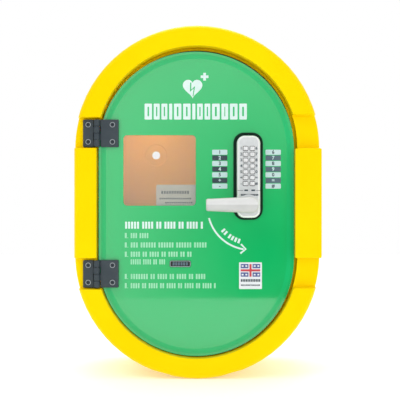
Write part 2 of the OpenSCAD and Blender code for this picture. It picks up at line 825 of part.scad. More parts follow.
module cam_arm() color("silver") translate([lever_at[0], 0, lever_at[1]]) face_out(cam_t, cam_v)
    difference() {
        union() {
            circle(cam_w / 2 + cam_hub_over);
            translate([0, -cam_w / 2]) square([cam_reach - cam_tip_r, cam_w]);
            translate([cam_reach - cam_tip_r - eps, cam_tip_r - cam_w / 2])
                square([cam_tip_r + eps, cam_w - 2 * cam_tip_r]);
            for (side = [-1, 1]) translate([cam_reach - cam_tip_r, side * (cam_w / 2 - cam_tip_r)])
                circle(cam_tip_r);
        }
        square(spindle_w + 0.1, center = true);
    }

module cam_screw() color("gray") translate([lever_at[0], 0, lever_at[1]]) difference() {
    union() {
        peg(0, 0, cam_screw_r, cam_v - 0.5, cam_screw_len);
        peg(0, 0, cam_washer_r, cam_v - cam_washer_t, cam_washer_t);
        peg(0, 0, cam_head_r, cam_v - cam_washer_t - cam_head_h, cam_head_h);
    }
    hex_peg(0, 0, key_r, cam_v - cam_washer_t - cam_head_h - 1, 2.4);
}

// return spring wound round the lever's neck
module lever_spring() color("silver") swept_tube([
    for (i = [0 : spring_turns * spring_rings])
        let (a = 360 * i / spring_rings)
        [lever_at[0] + spring_r * cos(a), spring_v + spring_pitch * i / spring_rings,
            lever_at[1] + spring_r * sin(a)]
], spring_wire / 2, 8);

// ---- push buttons ----

module push_button(column, row) color("ghostwhite") at_button(column, row) {
    face_out(plate_face_v + button_out - flange_top_v, flange_top_v) soft_rect(cap_w, cap_h, cap_round);
    face_out(flange_t, flange_top_v - flange_t)
        soft_rect(cap_w + flange_over, cap_h + flange_over, cap_round);
    peg(0, 0, stem_r, stem_end_v, flange_top_v - flange_t - stem_end_v);
}

module button_1() push_button(0, 0);
module button_2() push_button(0, 1);
module button_3() push_button(0, 2);
module button_4() push_button(0, 3);
module button_5() push_button(0, 4);
module button_x() push_button(0, 5);
module button_y() push_button(0, 6);
module button_6() push_button(1, 0);
module button_7() push_button(1, 1);
module button_8() push_button(1, 2);
module button_9() push_button(1, 3);
module button_0() push_button(1, 4);
module button_z() push_button(1, 5);
module button_c() push_button(1, 6);

housing();
vent_plugs();
door_seal();
strike_plate();
strike_screws();
support_shelf();
shelf_screws();
heater_block();
heater_screws();
thermostat();
terminal_box();
terminal_box_lid();
cable_grommet();
led_bar();
led_diffuser();
internal_leads();
lead_clips();
hinge_frame_leaf_upper();
hinge_frame_leaf_lower();
hinge_pin_upper();
hinge_pin_lower();
hinge_frame_screws();
hinge_inserts();
door_panel();
door_film();
location_plate();
corner_label();
rating_label();
hinge_door_leaf_upper();
hinge_door_leaf_lower();
hinge_door_screws();
hinge_door_nuts();
lock_front_plate();
lock_gasket();
code_chamber();
lock_back_plate();
lock_back_gasket();
lock_fixing_screws();
lever_handle();
lever_spindle();
cam_arm();
cam_screw();
lever_spring();
button_1();
button_2();
button_3();
button_4();
button_5();
button_6();
button_7();
button_8();
button_9();
button_0();
button_x();
button_y();
button_z();
button_c();
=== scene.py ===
"""A wall cabinet for a defibrillator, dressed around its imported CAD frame.

Metres. +X is right as seen from the front, +Y goes into the wall and +Z is up. The origin
is the centre of the wall fixings, and a depth called v is measured forwards from the back
plane, so v = -y. Outlines are counter-clockwise lists of (x, z).
"""
import json
import math

import bmesh
import bpy
from mathutils import Matrix, Vector


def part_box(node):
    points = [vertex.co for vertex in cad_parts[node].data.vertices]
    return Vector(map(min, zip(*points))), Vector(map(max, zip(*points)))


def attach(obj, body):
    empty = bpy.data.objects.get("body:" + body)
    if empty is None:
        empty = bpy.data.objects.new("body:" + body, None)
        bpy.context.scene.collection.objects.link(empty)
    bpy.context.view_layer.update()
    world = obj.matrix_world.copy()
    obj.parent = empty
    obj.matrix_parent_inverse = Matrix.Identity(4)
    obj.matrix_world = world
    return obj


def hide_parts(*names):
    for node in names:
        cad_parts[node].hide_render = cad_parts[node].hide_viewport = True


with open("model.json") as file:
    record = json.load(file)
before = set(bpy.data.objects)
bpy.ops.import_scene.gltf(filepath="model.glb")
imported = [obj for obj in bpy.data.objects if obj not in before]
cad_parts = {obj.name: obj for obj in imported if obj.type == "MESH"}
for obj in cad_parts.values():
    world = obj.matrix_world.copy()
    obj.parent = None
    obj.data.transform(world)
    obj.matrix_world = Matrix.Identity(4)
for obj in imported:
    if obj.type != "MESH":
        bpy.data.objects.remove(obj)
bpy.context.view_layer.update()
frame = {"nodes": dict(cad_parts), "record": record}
MM = 0.001


# ---- sizes read from the frame ----

def middle(node):
    low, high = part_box(node)
    return (low + high) / 2


def depths(node):
    """How far in front of the back plane a node starts and ends."""
    low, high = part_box(node)
    return -high.y, -low.y


shell_low, shell_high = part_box("housing")
OUTER_R = -shell_low.x
OUTER_HALF = shell_high.z - OUTER_R
RIM_V = -shell_low.y
RECESS_HALF = OUTER_HALF + 3.45 * MM
RECESS_R = OUTER_R - 35.5 * MM
CAVITY_R = RECESS_R - 12 * MM
LEDGE_V = depths("door_seal")[0]
FLOOR_V = depths("support_shelf")[0]

film_low, film_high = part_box("door_film")
DOOR_MID = middle("door_film")
DOOR_R = (film_high.x - film_low.x) / 2
DOOR_HALF = (film_high.z - film_low.z) / 2 - DOOR_R
FACE_V = -film_low.y

UP_HINGE = middle("hinge_door_leaf_upper")
LOW_HINGE = middle("hinge_door_leaf_lower")
HINGE_MID_Z = (UP_HINGE.z + LOW_HINGE.z) / 2
HINGE_DZ = (UP_HINGE.z - LOW_HINGE.z) / 2
HINGE_PIN = middle("hinge_pin_upper")
FRAME_SCREW_X = -171.4 * MM
DOOR_SCREW_X = -133.3 * MM
SCREW_DZ = 13.5 * MM

PLATE_MID = middle("lock_front_plate")
PLATE_V = depths("lock_front_plate")
PLATE_CORNER = 11.5 * MM
LEVER_AXIS = middle("lever_spindle")
BUTTONS = [node for node in frame["nodes"] if node.startswith("button_")]


# ---- outlines ----

def circle(x, z, r, count=32):
    points = []
    for k in range(count):
        a = math.tau * k / count
        points.append((x + r * math.cos(a), z + r * math.sin(a)))
    return points


def soft_rect(x, z, w, h, r, count=8):
    """A rectangle about (x, z) with round corners."""
    points = []
    for quarter, (sx, sz) in enumerate(((1, 1), (-1, 1), (-1, -1), (1, -1))):
        for k in range(count + 1):
            a = math.pi / 2 * (quarter + k / count)
            corner_x = x + sx * (w / 2 - r)
            corner_z = z + sz * (h / 2 - r)
            points.append((corner_x + r * math.cos(a), corner_z + r * math.sin(a)))
    return points


def node_rect(node, r, count):
    """The outline of a node's box, with round corners."""
    low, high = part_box(node)
    mid = (low + high) / 2
    return soft_rect(mid.x, mid.z, high.x - low.x, high.z - low.z, r, count)


def bar(x0, x1, z0, z1, r):
    """A rectangle between those sides, everything in millimetres."""
    return soft_rect((x0 + x1) / 2 * MM, (z0 + z1) / 2 * MM, (x1 - x0) * MM, (z1 - z0) * MM, r * MM, 3)


def stadium(x, z, r, half, count=48):
    """Two half circles, each that half away from (x, z)."""
    upper = []
    for k in range(count + 1):
        a = math.pi * k / count
        upper.append((x + r * math.cos(a), z + half + r * math.sin(a)))
    lower = [(2 * x - a, 2 * z - b) for a, b in upper]
    return upper + lower


def stroke(points, width):
    """The outline of a line of that width through the points."""
    left, right = [], []
    for i, (x, z) in enumerate(points):
        ax, az = points[max(i - 1, 0)]
        bx, bz = points[min(i + 1, len(points) - 1)]
        length = math.hypot(bx - ax, bz - az)
        nx = -(bz - az) / length * width / 2
        nz = (bx - ax) / length * width / 2
        left.append((x + nx, z + nz))
        right.append((x - nx, z - nz))
    return right + left[::-1]


def orient(points):
    """The same loop, made counter-clockwise."""
    area = sum(a[0] * b[1] - b[0] * a[1] for a, b in zip(points, points[1:] + points[:1]))
    return points if area > 0 else points[::-1]


def moved_in(points, d):
    """A counter-clockwise loop with each point moved inwards by d."""
    out = []
    for i, (x, z) in enumerate(points):
        ax, az = points[i - 1]
        bx, bz = points[(i + 1) % len(points)]
        tx, tz = bx - ax, bz - az
        length = math.hypot(tx, tz) or 1
        out.append((x - tz / length * d, z + tx / length * d))
    return out


# ---- mesh building ----

def ring(bm, points, v):
    return [bm.verts.new((x, -v, z)) for x, z in points]


def skin(bm, rings):
    """Faces between each ring and the next."""
    for a, b in zip(rings, rings[1:]):
        n = len(a)
        for k in range(n):
            bm.faces.new((a[k], a[(k + 1) % n], b[(k + 1) % n], b[k]))


def cap(bm, loops):
    """Fills the first loop, leaving the others as holes."""
    edges = []
    for loop in loops:
        for a, b in zip(loop, loop[1:] + loop[:1]):
            edges.append(bm.edges.get((a, b)) or bm.edges.new((a, b)))
    bmesh.ops.triangle_fill(bm, use_beauty=True, use_dissolve=False, edges=edges)


def add_plate(bm, outer, holes, v0, v1, front_round=0.0, back_round=0.0, steps=4):
    """A plate between two depths, with holes, its edges rounded."""
    turns = [math.pi / 2 * k / steps for k in range(steps + 1)]
    back, front = [(0.0, v0)], [(0.0, v1)]
    if back_round:
        back = [(back_round * (1 - math.sin(a)), v0 + back_round * (1 - math.cos(a))) for a in turns]
    if front_round:
        front = [(front_round * (1 - math.cos(a)), v1 - front_round * (1 - math.sin(a))) for a in turns]
    ends = []
    for sign, outline in [(1, outer)] + [(-1, hole) for hole in holes]:
        rings = [ring(bm, moved_in(outline, sign * inset), v) for inset, v in back + front]
        skin(bm, rings)
        ends.append((rings[0], rings[-1]))
    cap(bm, [end[0] for end in ends])
    cap(bm, [end[1] for end in ends])


def add_round(bm, rings):
    """A solid from a stack of rings."""
    skin(bm, rings)
    bm.faces.new(rings[0])
    bm.faces.new(rings[-1])


def add_lathe(bm, x, z, profile, count):
    """A round piece facing forwards about (x, z): profile is (radius, v) from back to front."""
    add_round(bm, [ring(bm, circle(x, z, r, count), v) for r, v in profile])


def add_post(bm, x, v, profile):
    """A round piece standing up at (x, v): profile is (radius, z) from bottom to top."""
    add_round(bm, [[bm.verts.new((x + a, b - v, z)) for a, b in circle(0, 0, r)] for r, z in profile])


def add_block(bm, low, high, r, steps=3):
    """A box from (x, v, z) to (x, v, z) with rounded edges."""
    made = bmesh.ops.create_cube(bm, size=1.0)["verts"]
    for vert in made:
        for i, sign in ((0, 1), (1, -1), (2, 1)):
            vert.co[i] = sign * (low[i] + high[i]) / 2 + vert.co[i] * (high[i] - low[i])
    edges = list(dict.fromkeys(edge for vert in made for edge in vert.link_edges))
    bmesh.ops.bevel(bm, geom=edges, offset=r, segments=steps, profile=0.5, affect="EDGES")


def piece(bm, name, body, paint, replaces=(), smooth=32):
    """Turns the mesh into an object that rides on a body."""
    bmesh.ops.recalc_face_normals(bm, faces=bm.faces)
    mesh = bpy.data.meshes.new(name)
    bm.to_mesh(mesh)
    bm.free()
    mesh.materials.append(paint)
    mesh.shade_smooth()
    mesh.set_sharp_from_angle(angle=math.radians(smooth))
    made = bpy.data.objects.new(name, mesh)
    weighted = made.modifiers.new("flat_faces", "WEIGHTED_NORMAL")
    weighted.keep_sharp = True
    bpy.context.scene.collection.objects.link(made)
    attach(made, body)
    if replaces:
        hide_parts(*replaces)


# ---- materials ----

class Nodes:
    """Short calls that add nodes to a tree."""

    def __init__(self, tree, output):
        self.tree = tree
        self.place = tree.nodes.new("ShaderNodeTexCoord").outputs[output]

    def link(self, a, b):
        self.tree.links.new(a, b)

    def put(self, value, socket):
        """Links a value from another node, or sets a number or a colour."""
        if isinstance(value, (tuple, list)):
            socket.default_value = (*value, 1.0)
        elif isinstance(value, (int, float)):
            socket.default_value = value
        else:
            self.link(value, socket)

    def axes(self):
        node = self.tree.nodes.new("ShaderNodeSeparateXYZ")
        self.link(self.place, node.inputs["Vector"])
        return node.outputs

    def math(self, kind, a, b=0.0):
        node = self.tree.nodes.new("ShaderNodeMath")
        node.operation = kind
        self.put(a, node.inputs[0])
        self.put(b, node.inputs[1])
        return node.outputs[0]

    def length(self, a, b):
        return self.math("SQRT", self.math("ADD", self.math("MULTIPLY", a, a), self.math("MULTIPLY", b, b)))

    def mix(self, share, a, b):
        node = self.tree.nodes.new("ShaderNodeMix")
        node.data_type = "RGBA"
        self.put(share, node.inputs["Factor"])
        self.put(a, node.inputs["A"])
        self.put(b, node.inputs["B"])
        return node.outputs["Result"]


class Paint(Nodes):
    """A Principled material in object coordinates."""

    def __init__(self, name, rough, metallic=0.0, **sockets):
        self.material = bpy.data.materials.new(name)
        self.material.use_nodes = True
        super().__init__(self.material.node_tree, "Object")
        self.shader = self.tree.nodes["Principled BSDF"]
        self.shader.inputs["Roughness"].default_value = rough
        self.shader.inputs["Metallic"].default_value = metallic
        for key, value in sockets.items():
            self.shader.inputs[key.replace("_", " ")].default_value = value
        self.rough = rough

    def noise(self, scale, detail=3.0, stretch=(1, 1, 1), rough=0.5):
        mapping = self.tree.nodes.new("ShaderNodeMapping")
        mapping.inputs["Scale"].default_value = stretch
        self.link(self.place, mapping.inputs["Vector"])
        node = self.tree.nodes.new("ShaderNodeTexNoise")
        node.inputs["Scale"].default_value = scale
        node.inputs["Detail"].default_value = detail
        node.inputs["Roughness"].default_value = rough
        self.link(mapping.outputs["Vector"], node.inputs["Vector"])
        return node.outputs["Fac"]

    def ramp(self, value, low, high, out_low=0.0, out_high=1.0):
        node = self.tree.nodes.new("ShaderNodeMapRange")
        node.inputs["From Min"].default_value = low
        node.inputs["From Max"].default_value = high
        node.inputs["To Min"].default_value = out_low
        node.inputs["To Max"].default_value = out_high
        self.link(value, node.inputs["Value"])
        return node.outputs["Result"]

    def away(self, value, centre):
        """How far the value is from the centre, either way."""
        return self.math("ABSOLUTE", self.math("SUBTRACT", value, centre))

    def colour(self, value):
        self.link(value, self.shader.inputs["Base Color"])

    def roughness(self, value):
        self.link(value, self.shader.inputs["Roughness"])

    def bump(self, height, depth, strength):
        node = self.tree.nodes.new("ShaderNodeBump")
        node.inputs["Distance"].default_value = depth * MM
        node.inputs["Strength"].default_value = strength
        self.link(height, node.inputs["Height"])
        self.link(node.outputs["Normal"], self.shader.inputs["Normal"])

    def worn(self, base, other, scale, grain, depth, spread=0.06, stretch=(1, 1, 1)):
        """The usual finish: two close colours in soft patches, uneven gloss and a fine grain.

        The patches and the grain are noise of those scales, and depth is the grain's, in millimetres.
        """
        patches = self.ramp(self.noise(scale, 4.0, stretch), 0.35, 0.68)
        self.colour(self.mix(patches, base, other))
        smears = self.noise(scale * 2.3, 5.0, stretch, 0.6)
        self.roughness(self.ramp(smears, 0.3, 0.7, self.rough - spread, self.rough + spread))
        self.bump(self.noise(grain, 2.0, stretch), depth, 0.6)
        return self.material


def yellow_paint():
    """Rotationally moulded polyethylene: faint orange peel and soft tone changes."""
    p = Paint("yellow_polyethylene", 0.34, Specular_IOR_Level=0.4, Specular_Tint=(1.0, 0.82, 0.04, 1.0))
    patches = p.ramp(p.noise(9.0, 3.0), 0.35, 0.7)
    base = p.mix(patches, (1.0, 0.71, 0.001), (0.985, 0.668, 0.0))
    specks = p.ramp(p.noise(420.0, 2.0), 0.70, 0.78, 0.0, 0.35)
    p.colour(p.mix(specks, base, (0.9, 0.6, 0.01)))
    p.roughness(p.ramp(p.noise(60.0, 5.0), 0.3, 0.7, 0.30, 0.42))
    peel = p.math("ADD", p.noise(520.0, 2.0), p.math("MULTIPLY", p.noise(90.0, 2.0), 0.8))
    p.bump(peel, 0.05, 0.5)
    return p.material


def film_paint():
    """Green ink printed on the back of a gloss film."""
    p = Paint("green_film", 0.05, Specular_IOR_Level=0.9, IOR=1.55)
    patches = p.ramp(p.noise(5.0, 2.0), 0.3, 0.7)
    p.colour(p.mix(patches, (0.005, 0.475, 0.128), (0.008, 0.495, 0.140)))
    p.roughness(p.ramp(p.noise(35.0, 6.0, rough=0.65), 0.3, 0.75, 0.03, 0.07))
    p.bump(p.noise(140.0, 1.0), 0.003, 0.3)
    return p.material


def clear_paint():
    """Clear acrylic, with faint dust and wiping marks."""
    p = Paint("clear_acrylic", 0.04, IOR=1.45, Transmission_Weight=0.9)
    marks = p.ramp(p.noise(30.0, 5.0, (1, 1, 0.4)), 0.45, 0.75)
    p.colour(p.mix(marks, (0.97, 0.995, 0.98), (0.94, 0.98, 0.96)))
    p.roughness(p.ramp(marks, 0.0, 1.0, 0.01, 0.05))
    p.bump(p.noise(60.0, 1.0), 0.002, 0.3)
    return p.material


def plate_paint():
    """Satin chrome, with a painted highlight: the rounded rim of the lock's front plate is painted lighter
    than its face, where light would catch it.
    """
    p = Paint("lock_metal", 0.36, 0.15, Specular_IOR_Level=0.7)
    x, _, z = p.axes()
    low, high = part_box("lock_front_plate")
    across = p.math("SUBTRACT", p.away(x, PLATE_MID.x), (high.x - low.x) / 2 - PLATE_CORNER)
    along = p.math("SUBTRACT", p.away(z, PLATE_MID.z), (high.z - low.z) / 2 - PLATE_CORNER)
    reach = p.length(p.math("MAXIMUM", across, 0.0), p.math("MAXIMUM", along, 0.0))
    # painted highlight: rim masks the plate's rounded rim, which gets a much lighter colour than the face
    rim = p.ramp(reach, PLATE_CORNER - 3.6 * MM, PLATE_CORNER - 2.4 * MM)
    face = p.mix(p.ramp(p.noise(90.0, 4.0), 0.35, 0.68), (0.66, 0.68, 0.685), (0.60, 0.625, 0.63))
    p.colour(p.mix(rim, face, (0.88, 0.89, 0.89)))
    p.roughness(p.ramp(p.noise(207.0, 5.0, rough=0.6), 0.3, 0.7, 0.30, 0.42))
    p.bump(p.noise(1600.0, 2.0), 0.02, 0.6)
    return p.material


def lever_paint():
    """Satin chrome, with painted light and shade: the lever's upper facet is painted lighter, as if lit
    from above, and the lower facet darker, as if in shade.
    """
    p = Paint("lever_metal", 0.33, 0.1, Specular_IOR_Level=0.7)
    patches = p.ramp(p.noise(60.0, 4.0), 0.35, 0.68)
    # painted light and shade: the lit colour above the lever's axis, the shaded colour below it
    upper = p.ramp(p.axes()[2], LEVER_AXIS.z - 1 * MM, LEVER_AXIS.z + 1.5 * MM)
    lever_shaded_lower = p.mix(patches, (0.56, 0.57, 0.56), (0.52, 0.53, 0.525))
    lever_lit_upper = p.mix(patches, (0.74, 0.745, 0.74), (0.69, 0.70, 0.695))
    p.colour(p.mix(upper, lever_shaded_lower, lever_lit_upper))
    p.roughness(p.ramp(p.noise(138.0, 5.0, rough=0.6), 0.3, 0.7, 0.27, 0.39))
    p.bump(p.noise(1600.0, 2.0), 0.015, 0.6)
    return p.material


def screw_paint():
    """Socket screws, with a painted highlight: a lighter ring is painted on the rim of each head. The eight
    heads are folded onto one.
    """
    p = Paint("socket_screws", 0.38, 0.85)
    x, _, z = p.axes()
    to_column = p.away(x, (FRAME_SCREW_X + DOOR_SCREW_X) / 2)
    to_hinge = p.away(p.away(z, HINGE_MID_Z), HINGE_DZ)
    dx = p.math("SUBTRACT", to_column, (DOOR_SCREW_X - FRAME_SCREW_X) / 2)
    dz = p.math("SUBTRACT", to_hinge, SCREW_DZ)
    reach = p.length(dx, dz)
    # painted highlight: rim masks a thin ring at the edge of each head, which gets a lighter colour
    rim = p.math("MULTIPLY", p.ramp(reach, 3.1 * MM, 3.5 * MM), p.ramp(reach, 4.3 * MM, 4.0 * MM))
    dark = p.mix(p.noise(700.0), (0.035, 0.045, 0.055), (0.06, 0.07, 0.08))
    p.colour(p.mix(rim, dark, (0.40, 0.44, 0.46)))
    p.roughness(p.ramp(p.noise(900.0), 0.3, 0.7, 0.3, 0.5))
    p.bump(p.noise(1500.0), 0.01, 0.5)
    return p.material


def ink(name, rough, base, other, scale=80, **sockets):
    """A printed colour, with hardly any grain."""
    return Paint(name, rough, **sockets).worn(base, other, scale, 900, 0.004, 0.04)


PAINTS = {
    "yellow_shell": yellow_paint(),
    "green_film": film_paint(),
    "clear_panel": clear_paint(),
    "socket_screws": screw_paint(),
    "lock_metal": plate_paint(),
    "lever_metal": lever_paint(),
    "button_metal": Paint("button_metal", 0.3, 0.3, Specular_IOR_Level=0.7).worn(
        (0.78, 0.79, 0.80), (0.70, 0.71, 0.72), 200, 1800, 0.01),
    "lock_gasket_black": Paint("lock_gasket", 0.6, Specular_IOR_Level=0.12).worn(
        (0.003, 0.020, 0.011), (0.006, 0.027, 0.016), 50, 800, 0.03),
    "black_rubber": Paint("black_rubber", 0.7).worn(
        (0.022, 0.022, 0.023), (0.035, 0.035, 0.036), 30, 700, 0.05),
    "hinge_black": Paint("hinge_coat", 0.45, Specular_IOR_Level=0.45).worn(
        (0.026, 0.040, 0.052), (0.036, 0.052, 0.064), 70, 1400, 0.05),
    "stainless": Paint("stainless", 0.3, 1.0).worn(
        (0.55, 0.56, 0.57), (0.46, 0.47, 0.48), 60, 900, 0.01, 0.08, (1, 1, 14)),
    "zinc_fasteners": Paint("zinc", 0.32, 1.0).worn(
        (0.52, 0.53, 0.55), (0.42, 0.43, 0.44), 200, 1800, 0.01),
    "brass_inserts": Paint("brass", 0.3, 1.0).worn(
        (0.66, 0.46, 0.2), (0.55, 0.37, 0.15), 150, 1200, 0.01),
    "heater_aluminium": Paint("aluminium", 0.42, 0.9).worn(
        (0.6, 0.61, 0.62), (0.5, 0.51, 0.52), 80, 900, 0.02, 0.08, (1, 1, 6)),
    "grey_plastic": Paint("grey_plastic", 0.45).worn(
        (0.62, 0.64, 0.63), (0.55, 0.57, 0.56), 30, 900, 0.03),
    "lead_sheath": Paint("lead_sheath", 0.5).worn(
        (0.02, 0.02, 0.022), (0.035, 0.035, 0.036), 60, 900, 0.02),
    "light_diffuser": Paint(
        "light_diffuser", 0.5, Emission_Color=(1.0, 0.93, 0.82, 1.0), Emission_Strength=2.0).worn(
        (0.86, 0.85, 0.8), (0.8, 0.79, 0.74), 60, 900, 0.01),
    "location_black": Paint("location_black", 0.25).worn(
        (0.010, 0.011, 0.011), (0.016, 0.017, 0.017), 50, 900, 0.01),
    "white_label": Paint("white_label", 0.4).worn(
        (0.80, 0.83, 0.86), (0.74, 0.78, 0.82), 40, 900, 0.01),
    "silver_label": Paint("silver_label", 0.42, 0.1).worn(
        (0.70, 0.66, 0.56), (0.64, 0.61, 0.52), 40, 900, 0.01),
}

INK_WHITE = ink("white_ink", 0.22, (0.72, 0.87, 0.84), (0.66, 0.83, 0.79), 60)
INK_SOFT = ink("soft_ink", 0.22, (0.34, 0.74, 0.48), (0.30, 0.71, 0.44), 60)
# painted shade: a green band, slightly bluer and less glossy than the film, stands in for the shade of the
# seal behind the film
SHADE_BAND_INK = ink("painted_shade_band", 0.12, (0.004, 0.475, 0.145), (0.007, 0.495, 0.155), 12, Specular_IOR_Level=0.55)
INK_PALE = ink("pale_ink", 0.25, (0.56, 0.74, 0.74), (0.50, 0.69, 0.69))
INK_DARK = ink("dark_ink", 0.25, (0.025, 0.048, 0.062), (0.035, 0.060, 0.075))
INK_SLATE = ink("slate_ink", 0.25, (0.085, 0.135, 0.175), (0.10, 0.155, 0.19))
INK_BLUE = ink("blue_ink", 0.3, (0.06, 0.085, 0.27), (0.08, 0.11, 0.31))
INK_RED = ink("red_ink", 0.3, (0.60, 0.05, 0.07), (0.54, 0.04, 0.06))


# ---- the moulded housing ----

LAND_V = FACE_V - 0.3 * MM
# for each side and end, where its land starts and stops, in millimetres from the middle
LANDS = {(-1, 1): (85, 132.3), (-1, -1): (88, 136), (1, 1): (85, 137), (1, -1): (85, 134)}
SIDE_TOP = 150 * MM
FOOT_HALF = 30 * MM
FOOT_RISE = 9 / 22
FIXING_X, FIXING_Z, FIXING_R = 74 * MM, 83 * MM, 7 * MM
SEAT_R = 19.5 * MM
SEAT_DEEP = 1.5 * MM
ENTRY_R = 10.1 * MM
GUARD_LOW, GUARD_HIGH = -87.5 * MM, 84 * MM
GUARD_INNER = 153.1 * MM
GUARD_BACK_V = 177.5 * MM
GUARD_FOOT_INNER = 188 * MM
GUARD_FOOT_V = 150 * MM


def arc(cx, cv, r, a0, a1, steps):
    """Points (reach, v) on an arc, angles in degrees from +reach towards +v."""
    points = []
    for k in range(steps + 1):
        a = math.radians(a0 + (a1 - a0) * k / steps)
        points.append((cx + r * math.cos(a), cv + r * math.sin(a)))
    return points


def straight(reach, depths_mm):
    return [(reach, v * MM) for v in depths_mm]


def rim_profile(level, bend, edge, wall):
    """The rim at that depth, from its outer bend over its inner edge and down the recess wall."""
    points = arc(OUTER_R - bend, level - bend, bend, 0, 90, 6)
    points += [(OUTER_R - inset * MM, level) for inset in (14, 20, 27, 32)]
    points += arc(RECESS_R + edge, level - edge, edge, 90, 180, 3)
    return points + straight(RECESS_R, wall)


OUTSIDE = arc(OUTER_R - 5 * MM, 5 * MM, 5 * MM, -90, 0, 4) + straight(OUTER_R, (35, 70, 105, 140, 165))
RIM = rim_profile(RIM_V, 8 * MM, 1.5 * MM, (184, 178, 172))
LOW_RIM = rim_profile(LAND_V, 3 * MM, 1 * MM, (173, 171, 169))
LEDGE = arc(RECESS_R - 2 * MM, LEDGE_V + 2 * MM, 2 * MM, 0, -90, 3) + [(RECESS_R - 6 * MM, LEDGE_V)]
CAVITY = arc(CAVITY_R + 1 * MM, LEDGE_V - 1 * MM, 1 * MM, 90, 180, 3)
CAVITY += straight(CAVITY_R, (140, 100, 60, 25))
CAVITY += arc(CAVITY_R - 4 * MM, FLOOR_V + 4 * MM, 4 * MM, 0, -90, 4)


def station_half(reach):
    """Half the outline's straight run at that reach: the recess is a little longer than the shell."""
    inner, outer = RECESS_R + 1.5 * MM, OUTER_R - 8.5 * MM
    share = min(max((reach - inner) / (outer - inner), 0.0), 1.0)
    return RECESS_HALF + (OUTER_HALF - RECESS_HALF) * share


def column(side):
    """Heights up one side of the housing, close together where the rim steps down to a land."""
    heights = [0.0]
    for end in (-1, 1):
        near, far = LANDS[side, end]
        marks = [20, 40, 60, 78] + [near + d for d in (-0.8, -0.2, 0.4, 1.0)] + [95, 105, 115, 125]
        marks += [far + d for d in (-1.0, -0.4, 0.2, 0.8)] + [144, SIDE_TOP / MM]
        heights += [end * mark * MM for mark in marks]
    return sorted(heights)


def turn_start(reach, half):
    """The angle at which the outline of that reach passes the top of the sides."""
    return math.asin((SIDE_TOP - half) / reach)


def stations():
    """Once round the outline: ("side", z, side) up and down the sides, ("turn", angle, end) on the ends."""
    turns = 26
    first = math.degrees(turn_start(OUTER_R, OUTER_HALF))
    arcs = [first + (180 - 2 * first) * k / turns for k in range(1, turns)]
    around = [("side", z, 1) for z in column(1)]
    around += [("turn", a, 1) for a in arcs]
    around += [("side", z, -1) for z in column(-1)[::-1]]
    return around + [("turn", 180 + a, -1) for a in arcs]


def station_point(station, reach):
    kind, where, sign = station
    half = station_half(reach)
    if kind == "side":
        over = max(abs(where) - half, 0.0)
        return sign * math.sqrt(max(reach * reach - over * over, 0.0)), where
    first = turn_start(OUTER_R, OUTER_HALF)
    mine = turn_start(reach, half)
    a = math.radians(where) - (math.pi if sign < 0 else 0.0)
    a = mine + (a - first) * (math.pi - 2 * mine) / (math.pi - 2 * first)
    x, z = sign * reach * math.cos(a), sign * (half + reach * math.sin(a))
    if z < 0 and reach > RECESS_R + 10 * MM and abs(x) < 2 * FOOT_HALF:
        z = max(z, shell_low.z + max(abs(x) - FOOT_HALF, 0.0) * FOOT_RISE)
    return x, z


def land_share(station):
    """1 where the rim drops to a hinge land, 0 on the full rim, with a short ramp between."""
    kind, height, side = station
    if kind != "side":
        return 0.0
    z = abs(height) / MM
    near, far = LANDS[side, 1 if height > 0 else -1]
    rise = min(max((z - near + 0.5) / 1.2, 0.0), 1.0)
    fall = min(max((far + 0.5 - z) / 1.2, 0.0), 1.0)
    share = min(rise, fall)
    return share * share * (3 - 2 * share)


def fixing_rings(bm, x, z):
    """A wall fixing's washer seat in the cavity's floor, and its hole through to the back."""
    wide = circle(x, z, SEAT_R, 40)
    seat_v = FLOOR_V - SEAT_DEEP
    return [ring(bm, wide, FLOOR_V), ring(bm, moved_in(wide, 0.8 * MM), seat_v),
            ring(bm, circle(x, z, FIXING_R + 0.6 * MM, 40), seat_v),
            ring(bm, circle(x, z, FIXING_R, 40), seat_v - 0.6 * MM),
            ring(bm, circle(x, z, FIXING_R, 40), 0.0)]


def build_housing():
    bm = bmesh.new()
    rows = []
    for station in stations():
        share = land_share(station)
        row = []
        for (r0, v0), (r1, v1) in zip(OUTSIDE + RIM + LEDGE + CAVITY, OUTSIDE + LOW_RIM + LEDGE + CAVITY):
            x, z = station_point(station, r0 + (r1 - r0) * share)
            row.append(bm.verts.new((x, -(v0 + (v1 - v0) * share), z)))
        rows.append(row)
    for a, b in zip(rows, rows[1:] + rows[:1]):
        for k in range(len(a) - 1):
            bm.faces.new((a[k], b[k], b[k + 1], a[k + 1]))
    back = [[row[0] for row in rows]]
    floor = [[row[-1] for row in rows]]
    entry = middle("cable_grommet")
    neck = circle(entry.x, entry.z, ENTRY_R, 40)
    bores = [fixing_rings(bm, sx * FIXING_X, sz * FIXING_Z) for sx in (1, -1) for sz in (1, -1)]
    bores.append([ring(bm, neck, FLOOR_V), ring(bm, neck, 0.0)])
    for bore in bores:
        skin(bm, bore)
        floor.append(bore[0])
        back.append(bore[-1])
    cap(bm, back)
    cap(bm, floor)
    # the guard block, and the foot that carries it down the shell's side
    add_block(bm, (GUARD_INNER, GUARD_BACK_V, GUARD_LOW),
              (shell_high.x, RIM_V + 0.001 * MM, GUARD_HIGH), 2 * MM)
    add_block(bm, (GUARD_FOOT_INNER, GUARD_FOOT_V, GUARD_LOW + 0.3 * MM),
              (shell_high.x - 0.02 * MM, RIM_V - 2 * MM, GUARD_HIGH - 0.3 * MM), 1.8 * MM)
    return bm


piece(build_housing(), "shell", "cabinet", PAINTS["yellow_shell"], ["housing"], 42)


# ---- hinges ----

LEAF_HEIGHT = 43.2 * MM
LEAF_THICK = 5 * MM
KNUCKLE_R = 5 * MM
KNUCKLE_EDGE = 0.6 * MM


